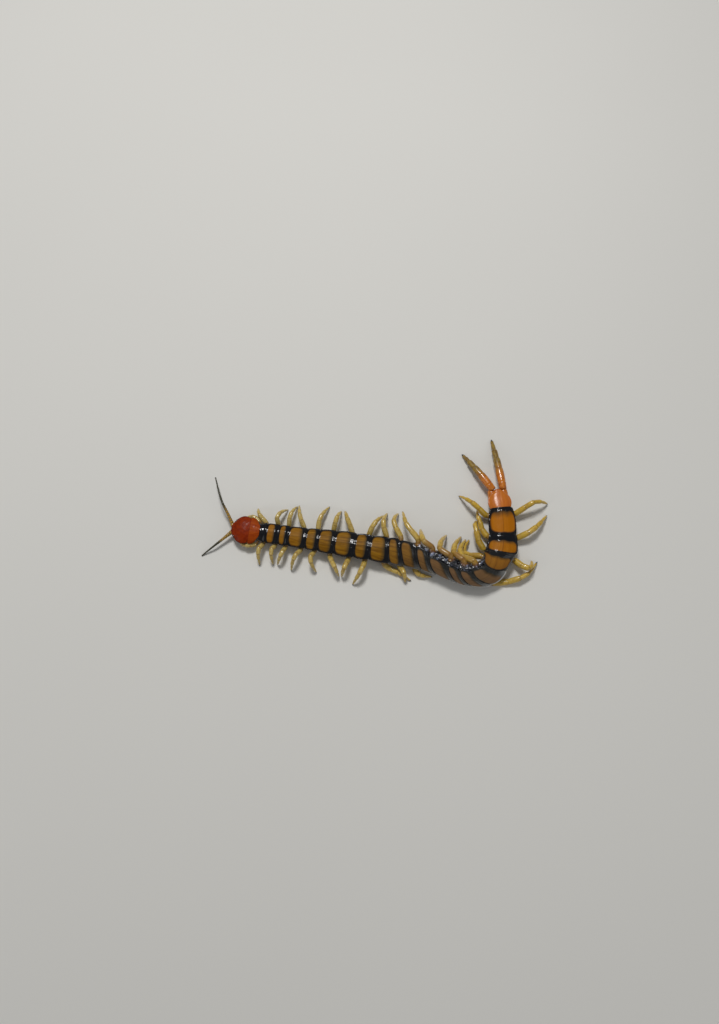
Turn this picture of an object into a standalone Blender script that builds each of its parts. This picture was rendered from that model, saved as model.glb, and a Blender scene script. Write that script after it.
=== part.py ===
# Giant centipede at life size, standing on a flat floor
# Metres, +Z up; the head points to -X and the tail turns towards +Y
# Sizes below are millimetres and angles are degrees

import math

import bmesh
import bpy
import numpy as np
from mathutils import Vector

MM = 0.001
GAP = 0.3

# Middle of the model's box on the floor, so that the origin lies under its centre
BOX_CENTRE = (6.3, 1.2)

# One back plate a body segment, from head to tail: length along the body and width
PLATE_LENGTHS = (3.7, 2.4, 5.0, 3.5, 6.5, 4.6, 6.0, 7.5, 5.55, 7.0, 4.8,
                 6.4, 5.0, 7.5, 4.5, 4.9, 6.6, 8.1, 6.3, 9.1, 6.8)
PLATE_WIDTHS = (8.8, 7.7, 7.3, 7.4, 7.5, 8.0, 8.5, 9.2, 9.4, 9.6, 9.8,
                10.0, 10.1, 10.2, 10.3, 10.5, 10.8, 11.1, 10.0, 9.5, 8.0)
SEGMENTS_PER_LENGTH = 3

# The body's line: start of the first plate, its heading, then each change along the body
# as (middle of the change, length over which it happens, amount)
START = (-40.4, -7.1)
START_HEADING = -8.2
BENDS = (
    (20, 40, -0.5),
    (61, 16, -14.8),
    (75, 18, 3.3),
    (87, 20, 73.0),
    (97, 18, 36.0),
    (111, 12, 7.0),
)
START_HEIGHT = 3.5
RISES = ((25, 40, 0.6), (58.5, 27, 2.4), (90.5, 15, -2.2))
ROLLS = ((58.5, 27, 70.0), (90.5, 15, -70.0))
LINE_STEP = 0.1

# Cross-section, as shares of a segment's half width
BACK_TOP = 0.52
PLATE_EDGE = 0.17
CORE_WIDTH = 0.93
SIDE_UNDER_EDGE = 0.95
SIDE_TOP = (0.93, -0.04)
SIDE_FOOT = (0.70, -0.43)
BELLY_EDGE = (0.58, -0.50)
BELLY_FLAT = 0.3
BELLY = 0.53
PLATE_THICKNESS = 0.28
PLATE_LIFT = 0.32
BELLY_LIFT = 0.14
STEP = 0.07

# Along one plate: place, plate width, share of the lift, core width
PLATE_STATIONS = (
    (0.00, 0.90, 0.0, 0.93),
    (0.14, 0.98, 0.3, 0.98),
    (0.50, 1.00, 0.6, 1.00),
    (0.86, 0.985, 0.9, 0.98),
    (1.00, 0.93, 1.0, 0.93),
)

# Share of the half width at which the dome of a plate has its points
DOME_SHARES = (0.0, 0.34, 0.62, 0.84, 0.96)
DOME_POWER = 2.6
EDGE_DROP = 0.08
EDGE_INSET = 0.05

# Head: plate over a capsule, along the head's own axis from the neck forwards
HEAD_LENGTH = 7.0
HEAD_WIDTH = 10.1
HEAD_PITCH = 5.0
HEAD_TOP = 2.35
HEAD_EDGE = 0.75
HEAD_BELLY = -0.35
HEAD_WIDEST = 0.36
HEAD_STATIONS = (0.0, 0.07, 0.2, 0.36, 0.52, 0.68, 0.81, 0.9, 0.96, 1.0)
NECK_NARROWING = 0.10
FRONT_NARROWING = 0.72
FRONT_POWER = 2.2
FRONT_DROP = 0.45
EDGE_FRONT_DROP = 0.35
CAPSULE_WIDTH = 0.86

# Simple eyes on a side: place along the head and share of its half width there
EYE_RADIUS = 0.2
EYE_SINK = 0.03
EYES = ((0.72, 0.88), (0.78, 0.866), (0.70, 0.86), (0.84, 0.874))

# Feelers
ANTENNA_ARTICLES = 18
ANTENNA_RADIUS = 0.66
ANTENNA_TIP = 0.24
ANTENNA_SIDES = 6
ANTENNA_ROOT = (6.75, 1.35, 0.15)
ANTENNA_STUB = 0.5
STUB_DEPTH = 1.6

# Left feeler under 1, right one under -1: turn outwards, then reach, bow and height of its line
ANTENNA_TURNS = {1: 45.0, -1: 60.0}
ANTENNA_LINES = {
    1: ((3.5, 0.1, 2.6), (7.0, 0.15, 2.2), (10.2, 0.05, 1.2), (13.0, 0.0, 0.12)),
    -1: ((4.0, 0.2, 4.2), (8.0, 0.6, 5.2), (12.5, 0.4, 5.4), (18.5, -0.2, 4.6)),
}

# Poison claws and the plate that carries them, along the head's axis
CLAW_PLATE_PLACE = 0.36
CLAW_PLATE_LENGTH = 2.1
CLAW_PLATE_SIDES = 16
CLAW_PLATE_WIDTHS = (6.0, 5.4)
CLAW_PLATE_TOP = -0.75
CLAW_PLATE_HEIGHT = 1.55
CLAW_RADIUS = 0.92
CLAW_LINE = ((3.1, 2.2), (4.0, 3.0), (5.2, 2.8), (6.2, 1.9), (6.7, 0.7))
CLAW_SIDES = 8
CLAW_STUB = 1.4

# Along one poison claw: place on its line and thickness
CLAW_SIZES = (
    (0.00, 0.90),
    (0.14, 1.00),
    (0.34, 1.00),
    (0.50, 0.86),
    (0.62, 0.68),
    (0.74, 0.50),
    (0.86, 0.34),
    (0.95, 0.22),
    (1.00, 0.12),
)

# Side plates behind the last back plate, as place beyond it, plate width and core width
TAIL_RINGS = ((0.07, 0.84, 0.86), (0.9, 0.72, 0.74), (1.5, 0.62, 0.64))

# Last legs: lateral place of the root, thickness, turn outwards (left 1, right -1) and reach
LAST_LEG_ROOT = 2.1
LAST_LEG_STUB = 0.5
TAIL_STUB_DEPTH = 2.0
LAST_LEG_RADIUS = 1.35
LAST_LEG_SIDES = 8
LAST_LEG_ARTICLES = (
    ("trochanter", 0.06, 0.86),
    ("prefemur", 0.27, 1.00),
    ("femur", 0.22, 0.90),
    ("tibia", 0.19, 0.74),
    ("tarsus_1", 0.13, 0.52),
    ("tarsus_2", 0.08, 0.40),
    ("claw", 0.05, 0.26),
)
LAST_LEG_TURNS = {1: -2.0, -1: 28.5}
LAST_LEG_LENGTHS = {"left": 19.8, "right": 17.2}
LAST_LEG_STRAIGHT = 5.0
LAST_LEG_SAG = 0.8

# Walking legs: share of the length and thickness of each article
LEG_ARTICLES = (
    ("trochanter", 0.09, 0.94),
    ("prefemur", 0.26, 1.00),
    ("femur", 0.20, 0.92),
    ("tibia", 0.17, 0.78),
    ("tarsus_1", 0.14, 0.60),
    ("tarsus_2", 0.09, 0.46),
    ("claw", 0.05, 0.30),
)
JOINT_NARROWING = 0.84
THICKEST = 0.62
LEG_SIDES = 6
LEG_PLACE = 0.78
LEG_THICKNESS = (0.42, 0.12)
LEG_TIP_RADIUS = 0.15
TIP_HEIGHT = 0.045

# Length of the walking legs at the segments named, in between by share
LEG_LENGTHS = (
    (1, 8.0),
    (2, 11.3),
    (5, 12.3),
    (9, 13.2),
    (12, 16.0),
    (14, 17.5),
    (17, 18.5),
    (20, 18.0),
)
KNEE_RISE = 2.6

# Pose of each walking leg from the head backwards: swing towards the tail, reach over the floor,
# place of the knee as a share of the reach, bow of the knee towards the head
LEFT_LEGS = (
    (-81, 6.4, 0.50, -1.4),
    (-1, 8.6, 0.42, 1.0),
    (2, 7.8, 0.44, 0.9),
    (-15, 7.8, 0.53, -0.3),
    (-16, 9.2, 0.49, 0.4),
    (13, 8.2, 0.45, 1.8),
    (30, 9.3, 0.68, 0.4),
    (-12, 7.9, 0.62, -0.1),
    (-18, 10.5, 0.45, -0.8),
    (64, 12.4, 0.56, 0.2),
    (28, 7.8, 0.60, -0.4),
    (68, 8.3, 0.38, 2.6),
    (105, 5.0, 0.50, -1.0),
    (105, 5.0, 0.50, -1.0),
    (105, 4.6, 0.50, -1.0),
    (78, 4.8, 0.50, -1.0),
    (78, 19.2, 0.58, 3.6),
    (15, 8.0, 0.72, 3.7),
    (36, 16.8, 0.43, 1.8),
    (14, 15.6, 0.59, -1.3),
)
RIGHT_LEGS = (
    (-81, 6.6, 0.50, -1.8),
    (-35, 8.0, 0.59, 0.6),
    (16, 8.2, 0.40, 1.7),
    (10, 9.7, 0.48, 0.8),
    (-20, 10.7, 0.51, 0.5),
    (14, 11.4, 0.45, 1.2),
    (10, 9.8, 0.55, 0.4),
    (-24, 10.7, 0.61, 0.1),
    (24, 11.1, 0.48, 0.9),
    (-6, 11.1, 0.52, 1.5),
    (-12, 11.7, 0.59, 2.3),
    (-38, 14.6, 0.55, 1.2),
    (-45, 10.2, 0.36, 1.8),
    (-24, 11.0, 0.27, 4.0),
    (-17, 12.2, 0.30, 3.9),
    (-10, 11.9, 0.43, 4.4),
    (8, 10.0, 0.55, 4.8),
    (57, 12.7, 0.74, 2.3),
    (67, 12.0, 0.70, 1.3),
    (41, 14.2, 0.51, 0.7),
)

# Legs whose knee has a given height, not one worked out from the length of the leg
KNEE_HEIGHTS = {
    ("left", 10): 1.2,
    ("left", 11): 3.7,
    ("left", 12): 1.4,
    ("left", 13): 1.0,
    ("left", 14): 1.0,
    ("left", 15): 1.0,
    ("left", 16): 1.0,
    ("left", 17): 2.5,
    ("left", 18): 4.5,
    ("right", 2): 3.2,
    ("right", 12): 8.0,
    ("right", 13): 10.5,
    ("right", 14): 10.4,
    ("right", 15): 9.2,
    ("right", 16): 7.6,
    ("right", 17): 3.8,
    ("right", 19): 2.6,
}
RAISED_FEET = {("right", 12): 3.0, ("right", 13): 2.5}

COLLECTION = "giant_centipede"
CUTTERS = "joined_pieces"


def ramp(place, middle, width):
    """Smooth rise from 0 to 1 across a stretch of the body."""
    share = np.clip((place - middle) / width + 0.5, 0.0, 1.0)
    return share * share * (3.0 - 2.0 * share)


def profile(place, start, changes):
    value = start
    for middle, width, amount in changes:
        value = value + amount * ramp(place, middle, width)
    return value


BODY_LENGTH = sum(PLATE_LENGTHS)
PLATE_STARTS = [sum(PLATE_LENGTHS[:i]) for i in range(len(PLATE_LENGTHS) + 1)]
PLATE_MIDDLES = [a + 0.5 * b for a, b in zip(PLATE_STARTS, PLATE_LENGTHS)]
LINE_PLACES = np.arange(0.0, BODY_LENGTH + 2.0, LINE_STEP)
LINE_HEADINGS = np.radians(profile(LINE_PLACES, START_HEADING, BENDS))
LINE_X = START[0] + np.concatenate([[0], np.cumsum(np.cos(LINE_HEADINGS[:-1]))]) * LINE_STEP
LINE_Y = START[1] + np.concatenate([[0], np.cumsum(np.sin(LINE_HEADINGS[:-1]))]) * LINE_STEP


def body_frame(place):
    """Centre, tailward, left and up vectors of the body at a distance behind the head."""
    heading = math.radians(profile(place, START_HEADING, BENDS))
    centre = Vector((
        np.interp(place, LINE_PLACES, LINE_X),
        np.interp(place, LINE_PLACES, LINE_Y),
        profile(place, START_HEIGHT, RISES),
    ))
    ahead = profile(place + LINE_STEP, START_HEIGHT, RISES)
    slope = ahead - profile(place - LINE_STEP, START_HEIGHT, RISES)
    tail = Vector((math.cos(heading), math.sin(heading), slope / (2 * LINE_STEP))).normalized()
    level_left = Vector((0, 0, 1)).cross(-tail).normalized()
    level_up = (-tail).cross(level_left)
    roll = math.radians(profile(place, 0.0, ROLLS))
    left = level_left * math.cos(roll) - level_up * math.sin(roll)
    up = level_up * math.cos(roll) + level_left * math.sin(roll)
    return centre, tail, left, up


def half_width(place):
    return 0.5 * np.interp(place, PLATE_MIDDLES, PLATE_WIDTHS)


def mirrored(half):
    """Full outline from the points of its left half, top middle to bottom middle."""
    return list(half) + [(-a, b) for a, b in reversed(half[1:-1])]


def body_section(width, plate, lift, core):
    """Outline of the trunk: domed back plate with an overhanging rim, soft side, belly plate."""
    rim = width * plate
    raise_plate = PLATE_LIFT * lift
    edge = PLATE_EDGE * width
    dome = []
    for share in DOME_SHARES:
        dome.append((rim * share, dome_height(BACK_TOP * width, edge, share) + raise_plate))
    core_width = width * CORE_WIDTH * core
    drop = BELLY_LIFT * lift
    sides = [
        (rim, edge + raise_plate - EDGE_DROP),
        (rim - EDGE_INSET, edge + raise_plate - PLATE_THICKNESS),
        (core_width * SIDE_UNDER_EDGE, edge - PLATE_THICKNESS - EDGE_INSET),
        (core_width * SIDE_TOP[0], SIDE_TOP[1] * width),
        (core_width * SIDE_FOOT[0], SIDE_FOOT[1] * width),
        (core_width * BELLY_EDGE[0], BELLY_EDGE[1] * width - drop),
        (core_width * BELLY_FLAT, -BELLY * width - drop),
        (0.0, -BELLY * width - drop),
    ]
    return mirrored(dome + sides)


def placed(outline, frame):
    centre, _, left, up = frame
    return [centre + left * a + up * b for a, b in outline]


def loft(name, rings, skin):
    """Closed body through rings of equally many points, with a fan over each end."""
    shift = Vector((BOX_CENTRE[0], BOX_CENTRE[1], 0.0))
    mesh = bmesh.new()
    rows = [[mesh.verts.new((p - shift) * MM) for p in ring] for ring in rings]
    count = len(rows[0])
    for first, second in zip(rows, rows[1:]):
        for i in range(count):
            j = (i + 1) % count
            mesh.faces.new((first[i], first[j], second[j], second[i]))
    for row in (rows[0], rows[-1]):
        middle = mesh.verts.new(sum((v.co for v in row), Vector()) / count)
        for i in range(count):
            mesh.faces.new((row[i], row[(i + 1) % count], middle))
    bmesh.ops.triangulate(mesh, faces=mesh.faces[:])
    bmesh.ops.recalc_face_normals(mesh, faces=mesh.faces[:])
    data = bpy.data.meshes.new(name)
    mesh.to_mesh(data)
    mesh.free()
    data.shade_smooth()
    data.materials.append(skin)
    piece = bpy.data.objects.new(name, data)
    bpy.data.collections[COLLECTION].objects.link(piece)
    return piece


def tube_rings(points, radii, sides, start_axis, reference):
    """Rings round a line, turned along with it and square to it."""
    rings = []
    across = None
    for i, (point, radius) in enumerate(zip(points, radii)):
        if i == 0:
            axis = start_axis
        elif i == len(points) - 1:
            axis = (points[i] - points[i - 1]).normalized()
        else:
            ahead = (points[i + 1] - points[i]).normalized()
            behind = (points[i] - points[i - 1]).normalized()
            axis = (ahead + behind).normalized()
        seed = reference if across is None else across
        across = (seed - axis * seed.dot(axis)).normalized()
        other = axis.cross(across)
        ring = []
        for k in range(sides):
            turn = 2 * math.pi * k / sides
            ring.append(point + (across * math.cos(turn) + other * math.sin(turn)) * radius)
        rings.append(ring)
    return rings


def bezier(a, b, c, d, count):
    """Points on a cubic curve, without its last one."""
    points = []
    for i in range(count):
        t = i / count
        points.append(a * (1 - t) ** 3 + b * 3 * t * (1 - t) ** 2 + c * 3 * t * t * (1 - t) + d * t ** 3)
    return points


def along(line, shares):
    """Points of a line at shares of its length."""
    lengths = [0.0]
    for a, b in zip(line, line[1:]):
        lengths.append(lengths[-1] + (b - a).length)
    points = []
    for share in shares:
        target = share * lengths[-1]
        i = min(max(int(np.searchsorted(lengths, target)), 1), len(line) - 1)
        t = (target - lengths[i - 1]) / (lengths[i] - lengths[i - 1])
        points.append(line[i - 1].lerp(line[i], t))
    return points


def smooth_line(points, per_span):
    """Catmull-Rom curve through points."""
    ends = [points[0] * 2 - points[1]] + list(points) + [points[-1] * 2 - points[-2]]
    line = []
    for i in range(len(points) - 1):
        a, b, c, d = ends[i:i + 4]
        line += bezier(b, b + (c - a) / 6, c - (d - b) / 6, c, per_span)
    return line + [points[-1]]


def material(name, colour, roughness, coat=0.4):
    surface = bpy.data.materials.new(name)
    surface.use_nodes = True
    shader = surface.node_tree.nodes["Principled BSDF"]
    shader.inputs["Base Color"].default_value = (*colour, 1.0)
    shader.inputs["Roughness"].default_value = roughness
    shader.inputs["Metallic"].default_value = 0.0
    shader.inputs["Coat Weight"].default_value = coat
    return surface


def join(target, pieces):
    """Fuse closed pieces into their node, then keep only its outer surface."""
    joined = bpy.data.collections.new(CUTTERS)
    for piece in pieces:
        for owner in list(piece.users_collection):
            owner.objects.unlink(piece)
        joined.objects.link(piece)
    union = target.modifiers.new("join", "BOOLEAN")
    union.operation = "UNION"
    union.operand_type = "COLLECTION"
    union.collection = joined
    union.solver = "EXACT"
    bpy.context.view_layer.update()
    graph = bpy.context.evaluated_depsgraph_get()
    data = bpy.data.meshes.new_from_object(target.evaluated_get(graph))
    target.modifiers.clear()
    old = target.data
    target.data = data
    bpy.data.meshes.remove(old)
    for piece in pieces:
        bpy.data.objects.remove(piece)
    bpy.data.collections.remove(joined)
    keep_largest(target)


def keep_largest(piece):
    mesh = bmesh.new()
    mesh.from_mesh(piece.data)
    left = set(mesh.verts)
    groups = []
    while left:
        group = {left.pop()}
        edge = list(group)
        while edge:
            vert = edge.pop()
            for link in vert.link_edges:
                other = link.other_vert(vert)
                if other in left:
                    left.remove(other)
                    group.add(other)
                    edge.append(other)
        groups.append(group)
    groups.sort(key=len, reverse=True)
    for group in groups[1:]:
        bmesh.ops.delete(mesh, geom=list(group), context="VERTS")
    bmesh.ops.triangulate(mesh, faces=mesh.faces[:])
    mesh.to_mesh(piece.data)
    mesh.free()


def trunk_stations(first, last):
    """Rings of one trunk length: place along the body and section values."""
    stations = []
    for segment in range(first, last):
        start = PLATE_STARTS[segment]
        for share, plate, lift, core in PLATE_STATIONS:
            place = start + share * PLATE_LENGTHS[segment]
            if share == 0.0 and segment > first:
                place += STEP
            if share == 0.0 and segment == first:
                place += 0.5 * GAP
            if share == 1.0 and segment == last - 1 and segment < len(PLATE_LENGTHS) - 1:
                place -= 0.5 * GAP
            stations.append((place, plate, lift, core))
    return stations


def make_trunk(shell):
    for number in range(len(PLATE_LENGTHS) // SEGMENTS_PER_LENGTH):
        first = number * SEGMENTS_PER_LENGTH
        last = first + SEGMENTS_PER_LENGTH
        rings = []
        for place, plate, lift, core in trunk_stations(first, last):
            outline = body_section(half_width(place), plate, lift, core)
            rings.append(placed(outline, body_frame(place)))
        if last == len(PLATE_LENGTHS):
            rings += tail_rings()
        piece = loft(f"trunk_{number + 1}", rings, shell)
        if last == len(PLATE_LENGTHS):
            stubs = [tail_stub(side) for side in (1, -1)]
            join(piece, stubs)


def tail_rings():
    """Side plates behind the last back plate, which carry the last legs."""
    rings = []
    width = half_width(BODY_LENGTH)
    for beyond, plate, core in TAIL_RINGS:
        place = BODY_LENGTH + beyond
        outline = body_section(width, plate, 0.0, core)
        centre, tail, left, up = body_frame(place)
        rings.append(placed([(a, b * plate) for a, b in outline], (centre, tail, left, up)))
    return rings


def tail_root(side):
    """Centre and direction of the joint of a last leg."""
    centre, tail, left, up = body_frame(BODY_LENGTH + TAIL_RINGS[-1][0])
    turn = math.radians(LAST_LEG_TURNS[side])
    outward = tail * math.cos(turn) + left * side * math.sin(turn)
    point = centre + left * side * LAST_LEG_ROOT + outward * LAST_LEG_STUB
    return point, outward, up


def tail_stub(side):
    point, outward, up = tail_root(side)
    inner = point - outward * TAIL_STUB_DEPTH
    radius = LAST_LEG_RADIUS * LAST_LEG_ARTICLES[0][2]
    rings = tube_rings([inner, point], [radius, radius], LAST_LEG_SIDES, outward, up)
    return loft(f"tail_stub_{side}", rings, bpy.data.materials["shell"])


def article_rings(line, articles, radius, tip_radius, sides, start_axis, reference):
    """A leg or feeler of articles that narrow at each joint."""
    shares = []
    radii = []
    place = 0.0
    for name, length, thickness in articles:
        shares.append(place)
        radii.append(radius * thickness * JOINT_NARROWING)
        if name not in ("trochanter", "claw"):
            shares.append(place + THICKEST * length)
            radii.append(radius * thickness)
        place += length
    shares.append(1.0)
    radii.append(tip_radius)
    total = place
    points = along(line, [s / total for s in shares])
    return tube_rings(points, radii, sides, start_axis, reference)


def on_floor(rings):
    """Flat underside where a piece rests on the floor."""
    return [[Vector((p.x, p.y, max(p.z, 0.0))) for p in ring] for ring in rings]


def leg_root(segment, side):
    """Centre of the joint face on the body's side, and the way that it faces."""
    place = PLATE_STARTS[segment] + LEG_PLACE * PLATE_LENGTHS[segment]
    centre, tail, left, up = body_frame(place)
    width = half_width(place)
    core = width * CORE_WIDTH
    top = (core * SIDE_TOP[0], SIDE_TOP[1] * width)
    foot = (core * SIDE_FOOT[0], SIDE_FOOT[1] * width)
    normal = Vector((top[1] - foot[1], foot[0] - top[0])).normalized()
    across = 0.5 * (top[0] + foot[0]) + GAP * normal[0]
    height = 0.5 * (top[1] + foot[1]) + GAP * normal[1]
    point = centre + left * side * across + up * height
    facing = (left * side * normal[0] + up * normal[1]).normalized()
    return point, facing, tail, width


def knee_height(root, knee, foot, length):
    """Height of the knee at which both halves of the leg add up to its length."""
    low = root.z + (foot.z - root.z) * 0.5
    high = root.z + KNEE_RISE
    for _ in range(30):
        middle = 0.5 * (low + high)
        knee.z = middle
        if (knee - root).length + (foot - knee).length < length:
            low = middle
        else:
            high = middle
    return high


def leg_line(root, facing, tail, side, pose, length, knee_at, foot_height):
    """The leg's middle line from its root over the knee to the floor."""
    swing, reach, share, bow = pose
    back = Vector((tail.x, tail.y, 0.0)).normalized()
    out = Vector((0, 0, 1)).cross(-back) * side
    turn = math.radians(swing)
    way = out * math.cos(turn) + back * math.sin(turn)
    forward = out * math.sin(turn) - back * math.cos(turn)
    foot = Vector((root.x, root.y, 0.0)) + way * reach
    foot.z = TIP_HEIGHT + foot_height
    knee = Vector((root.x, root.y, 0.0)) + way * reach * share + forward * bow
    knee.z = knee_height(root, knee, foot, length) if knee_at is None else knee_at
    first = (knee - root).length
    second = (foot - knee).length
    over = (foot - root).normalized()
    over = Vector((over.x, over.y, over.z * 0.5)).normalized()
    down = ((foot - knee).normalized() + Vector((0, 0, -0.5))).normalized()
    line = bezier(root, root + facing * first * 0.45, knee - over * first * 0.35, knee, 24)
    line += bezier(knee, knee + over * second * 0.35, foot - down * second * 0.4, foot, 24)
    return line + [foot]


def leg_radius(width):
    """Thickness of a walking leg, from the half width of its segment."""
    return LEG_THICKNESS[0] + LEG_THICKNESS[1] * width


def make_legs(skins):
    for side, word, poses in ((1, "left", LEFT_LEGS), (-1, "right", RIGHT_LEGS)):
        for segment, pose in enumerate(poses):
            root, facing, tail, width = leg_root(segment, side)
            length = np.interp(segment + 1, *zip(*LEG_LENGTHS))
            foot_height = RAISED_FEET.get((word, segment + 1), 0.0)
            knee_at = KNEE_HEIGHTS.get((word, segment + 1))
            line = leg_line(root, facing, tail, side, pose, length, knee_at, foot_height)
            rings = article_rings(
                line, LEG_ARTICLES, leg_radius(width), LEG_TIP_RADIUS, LEG_SIDES, facing, tail
            )
            loft(f"leg_{word}_{segment + 1:02d}", on_floor(rings), skins)


def make_last_legs(skin):
    for side, word in ((1, "left"), (-1, "right")):
        point, outward, up = tail_root(side)
        root = point + outward * GAP
        foot = root + Vector((outward.x, outward.y, 0.0)).normalized() * LAST_LEG_LENGTHS[word]
        foot.z = TIP_HEIGHT
        middle = root.lerp(foot, 0.5)
        middle.z = root.z * LAST_LEG_SAG
        line = bezier(root, root + outward * LAST_LEG_STRAIGHT, middle, foot, 40) + [foot]
        rings = article_rings(
            line, LAST_LEG_ARTICLES, LAST_LEG_RADIUS, LEG_TIP_RADIUS, LAST_LEG_SIDES, outward, up
        )
        loft(f"ultimate_leg_{word}", on_floor(rings), skin)


def head_frame():
    """Frame of the head at the neck: its axis points forwards and a little down."""
    centre, tail, left, up = body_frame(0.0)
    pitch = math.radians(HEAD_PITCH)
    forward = -tail * math.cos(pitch) - up * math.sin(pitch)
    lifted = up * math.cos(pitch) - tail * math.sin(pitch)
    return centre, forward, left, lifted


def head_point(forward_by, left_by, up_by):
    centre, forward, left, up = head_frame()
    return centre + forward * forward_by + left * left_by + up * up_by


def head_outline(share):
    """Half width of the head plate at a share of its length."""
    back = max(0.0, (HEAD_WIDEST - share) / HEAD_WIDEST)
    front = max(0.0, (share - HEAD_WIDEST) / (1.0 - HEAD_WIDEST))
    return 0.5 * HEAD_WIDTH * (1.0 - NECK_NARROWING * back ** 2 - FRONT_NARROWING * front ** FRONT_POWER)


def head_heights(share):
    """Height of the head plate's middle and of its edge at a share of its length."""
    front = max(0.0, (share - HEAD_WIDEST) / (1.0 - HEAD_WIDEST))
    return HEAD_TOP * (1.0 - FRONT_DROP * front ** 2), HEAD_EDGE * (1.0 - EDGE_FRONT_DROP * front ** 2)


def dome_height(top, edge, share):
    return edge + (top - edge) * (1.0 - share ** DOME_POWER)


def make_head(skin):
    rings = []
    for share in HEAD_STATIONS:
        wide = head_outline(share)
        top, edge = head_heights(share)
        capsule = wide * CAPSULE_WIDTH
        half = [(wide * a, dome_height(top, edge, a)) for a in DOME_SHARES]
        half += [
            (wide, edge - EDGE_DROP),
            (wide - EDGE_INSET, edge - PLATE_THICKNESS),
            (capsule, edge - PLATE_THICKNESS - EDGE_INSET),
            (capsule * 0.97, 0.12),
            (capsule * 0.84, HEAD_BELLY + 0.12),
            (capsule * 0.5, HEAD_BELLY),
            (0.0, HEAD_BELLY),
        ]
        along_axis = 0.5 * GAP + share * (HEAD_LENGTH - 0.5 * GAP)
        rings.append([head_point(along_axis, a, b) for a, b in mirrored(half)])
    piece = loft("head", rings, skin)
    stubs = [antenna_stub(side) for side in (1, -1)]
    eyes = [eye(side, place, spread) for side in (1, -1) for place, spread in EYES]
    join(piece, stubs + eyes)


def eye(side, place, spread):
    """One simple eye: a low bead at the front corner of the head plate."""
    top, edge = head_heights(place)
    height = dome_height(top, edge, spread) - EYE_SINK
    point = head_point(place * HEAD_LENGTH, side * head_outline(place) * spread, height)
    mesh = bmesh.new()
    bmesh.ops.create_icosphere(mesh, subdivisions=1, radius=EYE_RADIUS * MM)
    shift = Vector((BOX_CENTRE[0], BOX_CENTRE[1], 0.0))
    bmesh.ops.translate(mesh, verts=mesh.verts[:], vec=(point - shift) * MM)
    data = bpy.data.meshes.new("eye")
    mesh.to_mesh(data)
    mesh.free()
    piece = bpy.data.objects.new("eye", data)
    bpy.data.collections[COLLECTION].objects.link(piece)
    return piece


def antenna_root(side):
    """Joint of a feeler at the front corner of the head, and its first direction."""
    _, forward, left, up = head_frame()
    turn = math.radians(ANTENNA_TURNS[side])
    outward = (forward * math.cos(turn) + left * side * math.sin(turn)).normalized()
    point = head_point(ANTENNA_ROOT[0], ANTENNA_ROOT[1] * side, ANTENNA_ROOT[2]) + outward * ANTENNA_STUB
    return point, outward, up


def antenna_stub(side):
    point, outward, up = antenna_root(side)
    inner = point - outward * STUB_DEPTH
    rings = tube_rings([inner, point], [ANTENNA_RADIUS, ANTENNA_RADIUS], 8, outward, up)
    return loft(f"antenna_stub_{side}", rings, bpy.data.materials["shell"])


def make_antennae(skin):
    for side, word in ((1, "left"), (-1, "right")):
        point, outward, up = antenna_root(side)
        root = point + outward * GAP
        flat = Vector((outward.x, outward.y, 0.0)).normalized()
        across = Vector((-flat.y, flat.x, 0.0))
        points = [root]
        for reach, bow, height in ANTENNA_LINES[side]:
            spot = root + flat * reach + across * bow
            spot.z = height
            points.append(spot)
        line = smooth_line(points, 12)
        articles = []
        for i in range(ANTENNA_ARTICLES):
            thickness = 1.0 + (ANTENNA_TIP / ANTENNA_RADIUS - 1.0) * i / ANTENNA_ARTICLES
            articles.append((f"article_{i}", 1.0 / ANTENNA_ARTICLES, thickness))
        rings = article_rings(
            line, articles, ANTENNA_RADIUS, ANTENNA_TIP * 0.6, ANTENNA_SIDES, outward, up
        )
        loft(f"antenna_{word}", on_floor(rings), skin)


def squared(value):
    """Turns a circle's coordinate into a rounded square's."""
    return math.copysign(abs(value) ** 0.6, value)


def make_poison_claws(skin):
    """Plate under the head and the two curved claws that it carries."""
    rings = []
    for share in (0.0, 0.12, 0.6, 0.9, 1.0):
        width = CLAW_PLATE_WIDTHS[0] + (CLAW_PLATE_WIDTHS[1] - CLAW_PLATE_WIDTHS[0]) * share
        trim = 0.9 if share in (0.0, 1.0) else 1.0
        ring = []
        for k in range(CLAW_PLATE_SIDES):
            turn = 2 * math.pi * (k + 0.5) / CLAW_PLATE_SIDES
            a = squared(math.sin(turn)) * 0.5 * width * trim
            b = squared(math.cos(turn)) * 0.5 * CLAW_PLATE_HEIGHT * trim
            forward_by = CLAW_PLATE_PLACE + share * CLAW_PLATE_LENGTH
            ring.append(head_point(forward_by, a, CLAW_PLATE_TOP - 0.5 * CLAW_PLATE_HEIGHT + b))
        rings.append(ring)
    plate = loft("forcipule_base", rings, skin)
    height = CLAW_PLATE_TOP - 0.5 * CLAW_PLATE_HEIGHT
    stubs = []
    for side, word in ((1, "left"), (-1, "right")):
        points = [head_point(f, a * side, height) for f, a in CLAW_LINE]
        line = smooth_line(points, 8)
        axis = (line[1] - line[0]).normalized()
        _, _, _, up = head_frame()
        inner = points[0] - axis * (GAP + CLAW_STUB)
        outer = points[0] - axis * GAP
        first = CLAW_RADIUS * CLAW_SIZES[0][1]
        stub = loft("claw_stub", tube_rings([inner, outer], [first, first], CLAW_SIDES, axis, up), skin)
        stubs.append(stub)
        spots = along(line, [share for share, _ in CLAW_SIZES])
        rings = tube_rings(spots, [CLAW_RADIUS * size for _, size in CLAW_SIZES], CLAW_SIDES, axis, up)
        loft(f"forcipule_{word}", rings, skin)
    join(plate, stubs)


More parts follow.
